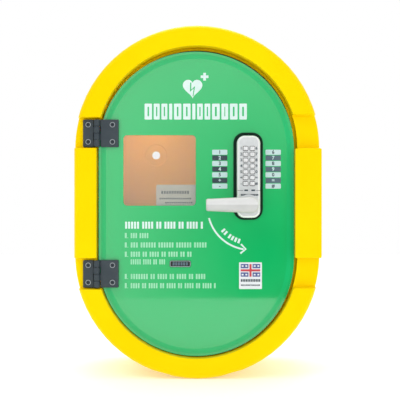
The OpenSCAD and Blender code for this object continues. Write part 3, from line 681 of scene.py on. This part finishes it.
def build_leaf(mid_z, side, edge_x, screw_x, v0, slots):
    """A leaf with countersunk holes and its share of the knuckles, slots counted from the top."""
    bm = bmesh.new()
    face = FACE_V + LEAF_THICK
    stop = HINGE_PIN.x + side * 5.6 * MM
    holes = [circle(screw_x, mid_z + s * SCREW_DZ, 4.6 * MM) for s in (1, -1)]
    outline = soft_rect((edge_x + stop) / 2, mid_z, abs(edge_x - stop), LEAF_HEIGHT, 1.2 * MM, 3)
    add_plate(bm, outline, [], v0, face - 2.2 * MM)
    add_plate(bm, outline, holes, face - 2.19 * MM, face, 0.7 * MM)
    half_lug = (LEAF_HEIGHT / 4 - 0.3 * MM) / 2
    for slot in slots:
        low = mid_z + LEAF_HEIGHT * (0.375 - slot / 4) - half_lug
        high = low + 2 * half_lug
        add_block(bm, (min(HINGE_PIN.x, stop) - 0.3 * MM, v0 + 0.01 * MM, low),
                  (max(HINGE_PIN.x, stop) + 0.3 * MM, face - 0.01 * MM, high), 0.5 * MM, 2)
        narrow = KNUCKLE_R - KNUCKLE_EDGE
        add_post(bm, HINGE_PIN.x, -HINGE_PIN.y, [(narrow, low), (KNUCKLE_R, low + KNUCKLE_EDGE),
                                                 (KNUCKLE_R, high - KNUCKLE_EDGE), (narrow, high)])
    return bm


frame_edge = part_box("hinge_frame_leaf_upper")[0].x
door_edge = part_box("hinge_door_leaf_upper")[1].x
for level in ("upper", "lower"):
    mid_z = middle("hinge_pin_" + level).z
    frame_leaf = build_leaf(mid_z, -1, frame_edge, FRAME_SCREW_X, LAND_V, (1, 3))
    door_leaf = build_leaf(mid_z, 1, door_edge, DOOR_SCREW_X, FACE_V, (0, 2))
    for leaf, body, name in ((frame_leaf, "cabinet", "frame_leaf_"), (door_leaf, "door", "door_leaf_")):
        name += level
        piece(leaf, name, body, PAINTS["hinge_black"], ["hinge_" + name], 35)


# ---- the lock: gasket, faceplate, buttons and lever ----

PLATE_FRONT = PLATE_V[1]
BUTTON_W, BUTTON_H = 7.2, 5.8
LEVER_BACK = PLATE_FRONT + 18 * MM
LEVER_TIP_HALF, LEVER_HEEL_HALF = 9.6 * MM, 12.3 * MM
LEVER_RIDGE = 2.2 * MM
SPINDLE_HOLE = circle(LEVER_AXIS.x, LEVER_AXIS.z, 6.5 * MM, 40)


def build_gasket():
    bm = bmesh.new()
    outline = node_rect("lock_gasket", 16.5 * MM, 10)
    add_plate(bm, outline, [SPINDLE_HOLE], *depths("lock_gasket"), 0.6 * MM)
    return bm


def build_faceplate():
    """A hollow plate with a round rim, a window for each button and a low ring about the lever."""
    bm = bmesh.new()
    windows = []
    for node in BUTTONS:
        at = middle(node)
        windows.append(soft_rect(at.x, at.z, (BUTTON_W + 1.6) * MM, (BUTTON_H + 1.6) * MM, 1.9 * MM, 4))
    windows.append(circle(LEVER_AXIS.x, LEVER_AXIS.z, 8.2 * MM, 48))
    outline = node_rect("lock_front_plate", PLATE_CORNER, 10)
    profile = [(0.0, PLATE_V[0]), (0.0, PLATE_FRONT - 6 * MM)]
    for k in range(8):
        a = math.pi / 2 * k / 7
        profile.append((3.4 * MM * (1 - math.cos(a)), PLATE_FRONT - 5 * MM + 5 * MM * math.sin(a)))
    outside = [ring(bm, moved_in(outline, inset), v) for inset, v in profile]
    skin(bm, outside)
    lips = []
    for window in windows:
        lip = [ring(bm, moved_in(window, -inset * MM), PLATE_FRONT - drop * MM)
               for inset, drop in ((0.25, 0), (0.07, 0.08), (0, 0.3), (0, 3))]
        skin(bm, lip)
        lips.append(lip)
    cap(bm, [outside[-1]] + [lip[0] for lip in lips])
    inner = moved_in(outline, 3 * MM)
    inside = [ring(bm, inner, PLATE_FRONT - 3 * MM), ring(bm, inner, PLATE_V[0])]
    skin(bm, inside)
    cap(bm, [inside[0]] + [lip[-1] for lip in lips])
    skin(bm, [outside[0], inside[1]])
    boss = ((16.2, 0.0), (16.0, 0.5), (15.4, 0.9), (14.0, 1.1), (9.4, 1.1), (8.6, 0.9), (8.4, 0.0))
    boss_rings = [ring(bm, circle(LEVER_AXIS.x, LEVER_AXIS.z, r * MM, 56), PLATE_FRONT + (rise - 0.02) * MM)
                  for r, rise in boss]
    skin(bm, boss_rings + boss_rings[:1])
    return bm


def build_key_seals():
    bm = bmesh.new()
    for node in BUTTONS:
        at = middle(node)
        outline = soft_rect(at.x, at.z, (BUTTON_W + 1.5) * MM, (BUTTON_H + 1.5) * MM, 1.8 * MM, 4)
        hole = soft_rect(at.x, at.z, (BUTTON_W + 0.1) * MM, (BUTTON_H + 0.1) * MM, 1.25 * MM, 4)
        add_plate(bm, outline, [hole], PLATE_FRONT - 2.4 * MM, PLATE_FRONT - 0.5 * MM)
    return bm


def build_button(node):
    """A low crowned cap, the flange that keeps it in, and the stem behind."""
    bm = bmesh.new()
    at = middle(node)
    back, front = depths(node)
    outline = soft_rect(at.x, at.z, BUTTON_W * MM, BUTTON_H * MM, 1.2 * MM, 5)
    rings = []
    for inset, drop in ((0, 5.3), (0, 1.1), (0.12, 0.65), (0.45, 0.28), (1.0, 0.1), (1.8, 0.02), (2.5, 0)):
        narrow, low = 1 - inset / (BUTTON_W / 2), 1 - inset / (BUTTON_H / 2)
        crown = [(at.x + (x - at.x) * narrow, at.z + (z - at.z) * low) for x, z in outline]
        rings.append(ring(bm, crown, front - drop * MM))
    add_round(bm, rings)
    flange = soft_rect(at.x, at.z, (BUTTON_W + 1.4) * MM, (BUTTON_H + 1.4) * MM, 1.2 * MM, 4)
    add_plate(bm, flange, [], front - 7.3 * MM, front - 5.6 * MM, 0.2 * MM)
    stem = [(1.2 * MM, back), (1.5 * MM, back + 0.3 * MM), (1.5 * MM, front - 7.2 * MM)]
    add_lathe(bm, at.x, at.z, stem, 20)
    return bm


def lever_section(x, back, front, half):
    """A section across the lever at x: rounder in front than behind, with a low ridge along it."""
    points = []
    for k in range(40):
        a = math.tau * k / 40
        c, s = math.cos(a), math.sin(a)
        n = 3.2 if c > 0 else 5.5
        fat = (abs(c) ** n + abs(s) ** n) ** (-1 / n)
        fall = LEVER_RIDGE * abs(s * fat) * min(1.0, max(c, 0.0) * 4)
        y = fall - (front + back) / 2 - (front - back) / 2 * c * fat
        points.append((x, y, LEVER_AXIS.z + half * s * fat))
    return points


def rounding(distance, reach):
    """1 at an end, falling to 0 at that reach as a quarter circle does."""
    return 1 - math.sqrt(max(0.0, 1 - max(0.0, 1 - distance / reach) ** 2))


def build_lever():
    """The grip, widening towards the spindle, and the round neck behind it."""
    bm = bmesh.new()
    low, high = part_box("lever_handle")
    length = high.x - low.x
    rings = []
    spots = (0, 0.3, 1.0, 2.0, 3.2, 5.0, 8, 14, 22, 32, 42, 52, 60, 66, 70, 73, 75.5, 77.5, 79, 79.7, 80)
    for spot in spots:
        x = low.x + length * spot / spots[-1]
        widening = min(max((x - low.x - 8 * MM) / (56 * MM), 0), 1)
        at_tip = rounding(x - low.x, 3.2 * MM)
        at_heel = rounding(high.x - x, 10.5 * MM)
        half = LEVER_TIP_HALF + (LEVER_HEEL_HALF - LEVER_TIP_HALF) * widening
        half -= 3.2 * MM * at_tip + 9.5 * MM * at_heel
        drop = 2.4 * MM * at_tip + 3.0 * MM * at_heel
        section = lever_section(x, LEVER_BACK + 0.4 * drop, -low.y - drop, half)
        rings.append([bm.verts.new(point) for point in section])
    add_round(bm, rings)
    foot = PLATE_FRONT + 0.4 * MM
    neck = [(8.0, PLATE_V[0] + 1.5 * MM), (8.0, foot - 0.2 * MM), (8.0, foot + 1.2 * MM)]
    neck += [(11.2, foot + 1.25 * MM), (11.8, foot + 1.8 * MM), (11.8, LEVER_BACK - 2 * MM)]
    neck += [(11.6, LEVER_BACK + 1 * MM), (11.0, LEVER_BACK + 3 * MM)]
    add_lathe(bm, LEVER_AXIS.x, LEVER_AXIS.z, [(r * MM, v) for r, v in neck], 48)
    return bm


piece(build_gasket(), "gasket", "door", PAINTS["lock_gasket_black"], ["lock_gasket"])
piece(build_faceplate(), "faceplate", "door", PAINTS["lock_metal"], ["lock_front_plate"], 38)
piece(build_key_seals(), "key_seals", "door", PAINTS["black_rubber"])
for node in BUTTONS:
    key = node.replace("button_", "key_")
    piece(build_button(node), key, node, PAINTS["button_metal"], [node])
piece(build_lever(), "lever_grip", "lever", PAINTS["lever_metal"], ["lever_handle"], 50)


# ---- the door: clear panel and printed film ----

WINDOW = soft_rect(-59.4 * MM, 49.9 * MM, 114 * MM, 111 * MM, 6 * MM)


def door_outline(inset):
    return stadium(DOOR_MID.x, DOOR_MID.z, DOOR_R - inset * MM, DOOR_HALF, 72)


panel_back, panel_front = depths("door_panel")
bm = bmesh.new()
add_plate(bm, door_outline(-0.2), [SPINDLE_HOLE], panel_back, panel_front, 0.9 * MM, 0.5 * MM)
piece(bm, "panel", "door", PAINTS["clear_panel"], ["door_panel"])
bm = bmesh.new()
add_plate(bm, door_outline(0), [WINDOW, SPINDLE_HOLE], panel_front + 0.01 * MM, FACE_V, 0.1 * MM)
piece(bm, "film", "door", PAINTS["green_film"], ["door_film"])


# ---- prints on the door and the plate ----

# places and sizes of the prints, in millimetres where there is no MM
TITLE_LEFT, TITLE_RIGHT = -83.1, 78.2
TITLE_LOW, TITLE_HIGH = 130.2, 155.3
TITLE_WIDTHS = (11.7, 9.4, 9.4, 4.9, 11.7, 11.7, 4.9, 9.0, 9.0, 12.2, 10.6, 12.0, 12.0)
# lines of writing: left, right, height up the door, size, number of letters, and pattern of words
HEADING = (-114.5, 9.5, -36.4, 11.0, 22, 1)
STEPS = (
    (-105.6, -76.6, -52.8, 8.2, 7, 2),
    (-105.6, 15.1, -67.6, 8.2, 26, 3),
    (-105.6, -8.5, -82.2, 8.2, 20, 4),
    (-105.6, -50.3, -94.2, 8.2, 14, 5),
    (-105.6, 13.2, -117.3, 8.2, 25, 6),
    (-105.6, 29.6, -131.8, 8.2, 29, 7),
)
STEP_NUMBERS_Z = (-52.8, -67.6, -82.2, -117.3, -131.8)
HEART_X, HEART_Z = -7.4, 180.8
BOLT = ((-11.3, 188.4), (-11.6, 173.6), (-5.6, 179.4), (-7.4, 166.6),
        (-6.0, 166.8), (-3.4, 183.0), (-9.6, 177.4), (-9.2, 188.6))
TURN_X, TURN_Z, TURN_R = 83.7 * MM, -7.7 * MM, 67.5 * MM
ARROW_WIDTH = 2.8 * MM
LEFT_SIGNS, RIGHT_SIGNS = "12345+-", "67890=#"


def prints(name, paint, outlines, v, thick=0.06, holes=None):
    """Ink laid on a face at depth v: a thin plate for each outline. holes is by the outline's number."""
    bm = bmesh.new()
    for number, outline in enumerate(outlines):
        add_plate(bm, outline, (holes or {}).get(number, []), v, v + thick * MM)
    piece(bm, name, "door", paint)


def title_blocks():
    """The title as a row of plain blocks, the wide ones framed. Also each frame's hole."""
    gap = (TITLE_RIGHT - TITLE_LEFT - sum(TITLE_WIDTHS)) / (len(TITLE_WIDTHS) - 1)
    outlines, holes = [], {}
    x = TITLE_LEFT
    for k, width in enumerate(TITLE_WIDTHS):
        outlines.append(bar(x, x + width, TITLE_LOW, TITLE_HIGH, 1.2))
        if width >= 9:
            slit = width / 2 - 4.6 if width > 10 else 1.0
            centre = x + width / 2
            corner = min(slit, 1.0) * 0.95
            holes[k] = [bar(centre - slit, centre + slit, TITLE_LOW + 5, TITLE_HIGH - 5, corner)]
        x += width + gap
    return outlines, holes


def word_blocks(x0, x1, z, height, letters, seed):
    """A line of writing as small upright blocks, parted into words."""
    words = []
    left = letters
    while left > 0:
        take = min(left, 2 + (seed * 7 + left * 5) % 6)
        words.append(take)
        left -= take
    pitch = (x1 - x0) / (letters + 0.75 * (len(words) - 1))
    outlines, x = [], x0
    for count in words:
        for _ in range(count):
            outlines.append(bar(x + 0.16 * pitch, x + 0.84 * pitch, z - height / 2, z + height / 2, 0.5))
            x += pitch
        x += 0.75 * pitch
    return outlines


def step_blocks():
    """The lines of writing under the heading, with a block and a dot for each line's number."""
    outlines = []
    for line in STEPS:
        outlines += word_blocks(*line)
    for z in STEP_NUMBERS_Z:
        outlines.append(bar(-114.3, -111.2, z - 4.1, z + 4.1, 0.6))
        outlines.append(bar(-110.2, -109.0, z - 4.1, z - 2.9, 0.3))
    return outlines


def heart():
    points = []
    for k in range(72):
        t = math.tau * k / 72
        x = 15.4 * math.sin(t) ** 3
        z = 13.8 * math.cos(t) - 4.6 * math.cos(2 * t) - 1.8 * math.cos(3 * t) - 0.9 * math.cos(4 * t)
        points.append(((HEART_X + x) * MM, (HEART_Z + z) * MM))
    return orient(points)


def cross(x, z, reach, half):
    right = [(reach, -half), (reach, half), (half, half), (half, reach), (-half, reach), (-half, half)]
    corners = right + [(-a, -b) for a, b in right]
    return [((x + a) * MM, (z + b) * MM) for a, b in corners]


def around_lever(angle, r):
    """A point on the curved arrow's circle, or on one inside it."""
    a = math.radians(angle)
    return TURN_X + r * math.cos(a), TURN_Z + r * math.sin(a)


def turn_arrow():
    """The curved arrow by the lever, with its caption as six plain blocks."""
    sweep = [around_lever(angle, TURN_R) for angle in range(195, 264, 3)]
    tip = (sweep[-1][0] + 3.4 * MM, sweep[-1][1] + 0.2 * MM)
    barbs = []
    for angle in (134, 218):
        a = math.radians(angle)
        barbs.append((tip[0] + 11 * MM * math.cos(a), tip[1] + 11 * MM * math.sin(a)))
    outlines = [stroke(sweep, ARROW_WIDTH), stroke([barbs[0], tip, barbs[1]], ARROW_WIDTH)]
    for k in range(6):
        angle = 221 + k * 5.6 + (2.5 if k > 1 else 0)
        x, z = around_lever(angle, 56.5 * MM)
        c, s = math.cos(math.radians(angle + 90)), math.sin(math.radians(angle + 90))
        corners = ((-1.7, -3.6), (1.7, -3.6), (1.7, 3.6), (-1.7, 3.6))
        outlines.append([(x + (dx * c - dz * s) * MM, z + (dx * s + dz * c) * MM) for dx, dz in corners])
    return [orient(outline) for outline in outlines]


def add_symbol(bm, text, x, z, height, v):
    """One numeral or sign as a thin flat solid centred on (x, z)."""
    curve = bpy.data.curves.new("symbol", "FONT")
    curve.body = text
    curve.align_x = "CENTER"
    curve.align_y = "CENTER"
    curve.size = height * 1.38
    curve.offset = height * 0.045
    curve.extrude = 0.02 * MM
    curve.resolution_u = 3
    holder = bpy.data.objects.new("symbol", curve)
    bpy.context.scene.collection.objects.link(holder)
    mesh = bpy.data.meshes.new_from_object(holder)
    mesh.transform(Matrix.Translation((x, -v, z)) @ Matrix.Rotation(math.pi / 2, 4, "X"))
    bm.from_mesh(mesh)
    bpy.data.objects.remove(holder)
    bpy.data.curves.remove(curve)
    bpy.data.meshes.remove(mesh)


def key_strip(name, x0, x1, dark, signs):
    """The strip of names beside one column of buttons: light and dark fields by turns."""
    fields, symbols = ([], []), (bmesh.new(), bmesh.new())
    for k, sign in enumerate(signs):
        top = 82.6 - k * 8.9
        fields[k % 2].append(bar(x0, x1, top - 8.0, top, 1.4))
        add_symbol(symbols[k % 2], sign, (x0 + x1) / 2 * MM, (top - 4.0) * MM, 5.6 * MM, FACE_V + 0.08 * MM)
    prints(name + "_pale", INK_PALE, fields[0], FACE_V)
    prints(name + "_deep", dark, fields[1], FACE_V)
    piece(symbols[0], name + "_pale_signs", "door", INK_DARK)
    piece(symbols[1], name + "_deep_signs", "door", INK_PALE)


def plate_signs():
    """A small sign on the faceplate beside each button."""
    bm = bmesh.new()
    for node in BUTTONS:
        at = middle(node)
        row = round((83.5 * MM - at.z) / (9.13 * MM))
        signs, offset = (LEFT_SIGNS, -11.9) if at.x < PLATE_MID.x else (RIGHT_SIGNS, 12.0)
        add_symbol(bm, signs[row], PLATE_MID.x + offset * MM, at.z, 4.4 * MM, PLATE_FRONT + 0.02 * MM)
    return bm


# painted shade: a band from 4 to 11.5 mm inside the door's edge, for the shade of the seal behind the film
prints("edge_shade_band", SHADE_BAND_INK, [door_outline(4.0)], FACE_V, 0.02, {0: [door_outline(11.5)]})
title, title_holes = title_blocks()
prints("title_blocks", INK_WHITE, title, FACE_V, 0.06, title_holes)
bolt = orient([(x * MM, z * MM) for x, z in BOLT])
heart_and_cross = [heart(), cross(11.5, 197.7, 6.1, 2.1)]
prints("heart_mark", INK_WHITE, heart_and_cross, FACE_V, 0.06, {0: [bolt]})
prints("heading_line", INK_WHITE, word_blocks(*HEADING), FACE_V)
prints("step_lines", INK_SOFT, step_blocks(), FACE_V)
prints("turn_arrow", INK_WHITE, turn_arrow(), FACE_V)
key_strip("left_keys", 23.5, 47.4, INK_DARK, LEFT_SIGNS)
key_strip("right_keys", 107.6, 131.8, INK_SLATE, RIGHT_SIGNS)
piece(plate_signs(), "plate_signs", "door", INK_DARK)

dashes = [bar(x0, x1, 17.2, 19.6, 0.9) for x0, x1 in ((73.0, 78.9), (83.7, 89.9))]
dashes += [bar(67.6 + k * 2.3, 69.5 + k * 2.3, 9.9, 12.6, 0.3) for k in range(12)]
prints("plate_dashes", INK_DARK, dashes, PLATE_FRONT)
# painted shade: thin dark strips laid flat on the faceplate stand in for the shade inside two grooves
groove_shade_strips = [bar(x0, x1, 17.9, 18.5, 0.2) for x0, x1 in ((62.5, 71.5), (91.2, 97.8))]
prints("plate_groove_shade", PAINTS["hinge_black"], groove_shade_strips, PLATE_FRONT, 0.03)


# ---- the location plate and the labels ----

def sticker(name, node, slot, r, count, lip=0.0, sunk=0.0):
    """A label or plate from its CAD node, its edge rounded over.

    Returns its middle, x and z in millimetres, and the depth of its face.
    """
    back, front = depths(node)
    bm = bmesh.new()
    add_plate(bm, node_rect(node, r * MM, count), [], back, front - sunk * MM, lip * MM)
    piece(bm, name, "door", PAINTS[slot], [node])
    mid = middle(node)
    return mid.x / MM, mid.z / MM, front - sunk * MM


def marks(x, z, left, step, width, low, high, r, count):
    """A row of small upright blocks, placed about (x, z)."""
    starts = [x + left + k * step for k in range(count)]
    return [bar(start, start + width, z + low, z + high, r) for start in starts]


def location_prints():
    x, z, face = sticker("location", "location_plate", "location_black", 3.0, 6, 0.35)
    letters = [bar(x + dx - 1.5, x + dx + 1.5, z - 2.6, z + 2.6, 0.6)
               for dx in (-10.4, -6.2, -2.1, 2.1, 6.2, 10.4)]
    rim = soft_rect(x * MM, z * MM, 32.2 * MM, 9.3 * MM, 2.4 * MM, 6)
    prints("location_marks", INK_SLATE, letters, face)
    prints("location_rim", INK_PALE, [rim], face, 0.04, {0: [moved_in(rim, 0.5 * MM)]})


def corner_prints():
    """A field with a white and a red cross and small squares, over two rows of blank blocks."""
    x, z, face = sticker("maker_label", "corner_label", "white_label", 1.0, 6, 0.1)
    white = PAINTS["white_label"]
    left, right, low, high = x - 15.4, x + 15.4, z - 1.6, z + 18.4
    over = face + 0.06 * MM
    wide, tall = bar(left, right, z + 5.2, z + 11.6, 0.2), bar(x - 3.2, x + 3.2, low, high, 0.2)
    red_wide, red_tall = bar(left, right, z + 6.7, z + 10.1, 0.2), bar(x - 1.7, x + 1.7, low, high, 0.2)
    squares = [bar(x + dx - 1.5, x + dx + 1.5, z + dz - 1.2, z + dz + 1.2, 0.3)
               for dx in (-12.4, -6.6, 6.6, 12.4) for dz in (1.6, 15.2)]
    rows = marks(x, z, -15.2, 2.6, 2.0, -9.6, -5.4, 0.4, 12)
    rows += marks(x, z, -15.0, 1.9, 1.3, -16.2, -13.8, 0.3, 16)
    prints("label_field", INK_BLUE, [bar(left, right, low, high, 0.8)], face)
    prints("label_cross_white_wide", white, [wide], over, 0.03)
    prints("label_cross_white_tall", white, [tall], over, 0.04)
    prints("label_cross_red_wide", INK_RED, [red_wide], over + 0.03 * MM, 0.03)
    prints("label_cross_red_tall", INK_RED, [red_tall], over + 0.04 * MM, 0.03)
    prints("label_squares", white, squares, over, 0.03)
    prints("label_lines", INK_DARK, rows, face)


def rating_prints():
    x, z, face = sticker("rating_plate", "rating_label", "silver_label", 2.0, 5, 0.0, 0.1)
    rows = marks(x, z, -24, 4.1, 2.8, 3.4, 8.4, 0.8, 11)
    rows += marks(x, z, -27, 3.4, 2.5, -5.2, -2.8, 0.4, 15)
    rows += marks(x, z, -18, 3.4, 2.5, -11.4, -9.2, 0.4, 13)
    prints("rating_lines", INK_DARK, rows, face, 0.05)


location_prints()
corner_prints()
rating_prints()


# ---- the CAD nodes that are shown as they are ----

BEVELS = {"support_shelf": 0.35, "strike_plate": 0.3, "terminal_box": 0.6, "terminal_box_lid": 0.4,
          "led_bar": 0.4, "heater_block": 0.25, "lock_back_plate": 0.4, "thermostat": 0.3, "cam_arm": 0.25}


def dress_nodes():
    """Each takes the finish of its material slot. Folded and machined pieces get a fine bevel."""
    for entry in frame["record"]["subparts"]:
        node = frame["nodes"][entry["node"]]
        slot = entry["material_slot"]
        node.data.materials.clear()
        node.data.materials.append(PAINTS[slot])
        if entry["node"] in BEVELS:
            bevel = node.modifiers.new("edges", "BEVEL")
            bevel.width = BEVELS[entry["node"]] * MM
            bevel.segments = 2
            bevel.limit_method = "ANGLE"
            bevel.angle_limit = math.radians(50)


dress_nodes()


# ---- studio ----

def build_floor():
    white = (1.0, 1.0, 1.0, 1.0)
    p = Paint("floor", 0.55, Specular_IOR_Level=0.3, Emission_Color=white, Emission_Strength=0.24)
    p.colour(p.mix(p.noise(0.8), (0.97, 0.965, 0.96), (0.98, 0.978, 0.975)))
    p.roughness(p.ramp(p.noise(12.0), 0.3, 0.7, 0.5, 0.6))
    bm = bmesh.new()
    add_block(bm, (-3.0, -2.6, shell_low.z - 0.02), (3.0, 1.2, shell_low.z), 0.004)
    bmesh.ops.recalc_face_normals(bm, faces=bm.faces)
    mesh = bpy.data.meshes.new("floor")
    bm.to_mesh(mesh)
    bm.free()
    mesh.materials.append(p.material)
    floor = bpy.data.objects.new("floor", mesh)
    bpy.context.scene.collection.objects.link(floor)


def light_world():
    """A plain white backdrop, and light with a soft dark patch in front for the glossy door to reflect."""
    world = bpy.data.worlds.new("studio")
    bpy.context.scene.world = world
    world.use_nodes = True
    world.node_tree.nodes.clear()
    sky = Nodes(world.node_tree, "Generated")
    x, y, z = sky.axes()
    ahead = sky.math("MAXIMUM", sky.math("MULTIPLY", y, -1.0), 0.02)
    side = sky.math("SUBTRACT", sky.math("DIVIDE", x, ahead), 0.085)
    rise = sky.math("MULTIPLY", sky.math("ADD", sky.math("DIVIDE", z, ahead), 0.065), 0.85)
    patch = sky.tree.nodes.new("ShaderNodeValToRGB")
    stops = ((0.0, 0.01), (0.05, 0.08), (0.1, 0.24), (0.2, 0.58), (0.26, 0.72), (0.5, 0.4), (1.0, 0.3))
    while len(patch.color_ramp.elements) < len(stops):
        patch.color_ramp.elements.new(0.5)
    for element, (spot, level) in zip(patch.color_ramp.elements, stops):
        element.position = spot
        element.color = (level, level, level, 1.0)
    sky.link(sky.length(side, rise), patch.inputs["Fac"])
    slope = sky.math("ADD", sky.math("MULTIPLY", y, 4.0), 0.6)
    behind = sky.math("MINIMUM", sky.math("MAXIMUM", slope, 0.0), 1.0)
    lighting = sky.mix(behind, patch.outputs["Color"], (0.45, 0.45, 0.45))
    seen = sky.tree.nodes.new("ShaderNodeLightPath").outputs["Is Camera Ray"]
    shade = sky.tree.nodes.new("ShaderNodeBackground")
    shade.inputs["Strength"].default_value = 2.0
    sky.link(sky.mix(seen, lighting, (0.5, 0.5, 0.5)), shade.inputs["Color"])
    end = sky.tree.nodes.new("ShaderNodeOutputWorld")
    sky.link(shade.outputs["Background"], end.inputs["Surface"])


def hang(light, place, power):
    light.energy = power
    holder = bpy.data.objects.new(light.name, light)
    holder.location = place
    bpy.context.scene.collection.objects.link(holder)
    return holder


def add_area(name, place, target, size, power):
    light = bpy.data.lights.new(name, "AREA")
    light.shape = "DISK"
    light.size = size
    aim = Vector(target) - Vector(place)
    hang(light, place, power).rotation_euler = aim.to_track_quat("-Z", "Y").to_euler()


def add_inner_lamp():
    """The warm light inside, as the photo shows it through the window."""
    light = bpy.data.lights.new("inner", "POINT")
    light.color = (1.0, 0.52, 0.32)
    light.shadow_soft_size = 0.03
    hang(light, (-0.08, -0.125, 0.14), 0.22)


def add_camera():
    """Straight in front, level with the middle of the cabinet."""
    camera = bpy.data.cameras.new("camera")
    camera.sensor_width = 36.0
    camera.lens = 72.144
    camera.clip_start = 0.05
    camera.clip_end = 30.0
    viewer = bpy.data.objects.new("camera", camera)
    viewer.location = (0.0043, -1.440, 0.0033)
    viewer.rotation_euler = (math.pi / 2, 0.0, 0.0)
    bpy.context.scene.collection.objects.link(viewer)
    bpy.context.scene.camera = viewer


build_floor()
light_world()
add_area("key", (-1.1, -1.5, 1.7), (0, -0.1, 0), 1.3, 10.0)
add_area("fill", (1.5, -1.4, 0.7), (0, -0.1, 0), 1.2, 5.0)
add_area("top", (0.0, -0.2, 2.0), (0, -0.1, 0), 1.4, 8.0)
add_area("back", (0.0, 1.0, 2.0), (0, 1.0, 0), 1.8, 16.0)
add_inner_lamp()
add_camera()
bpy.context.scene.view_settings.view_transform = "Standard"
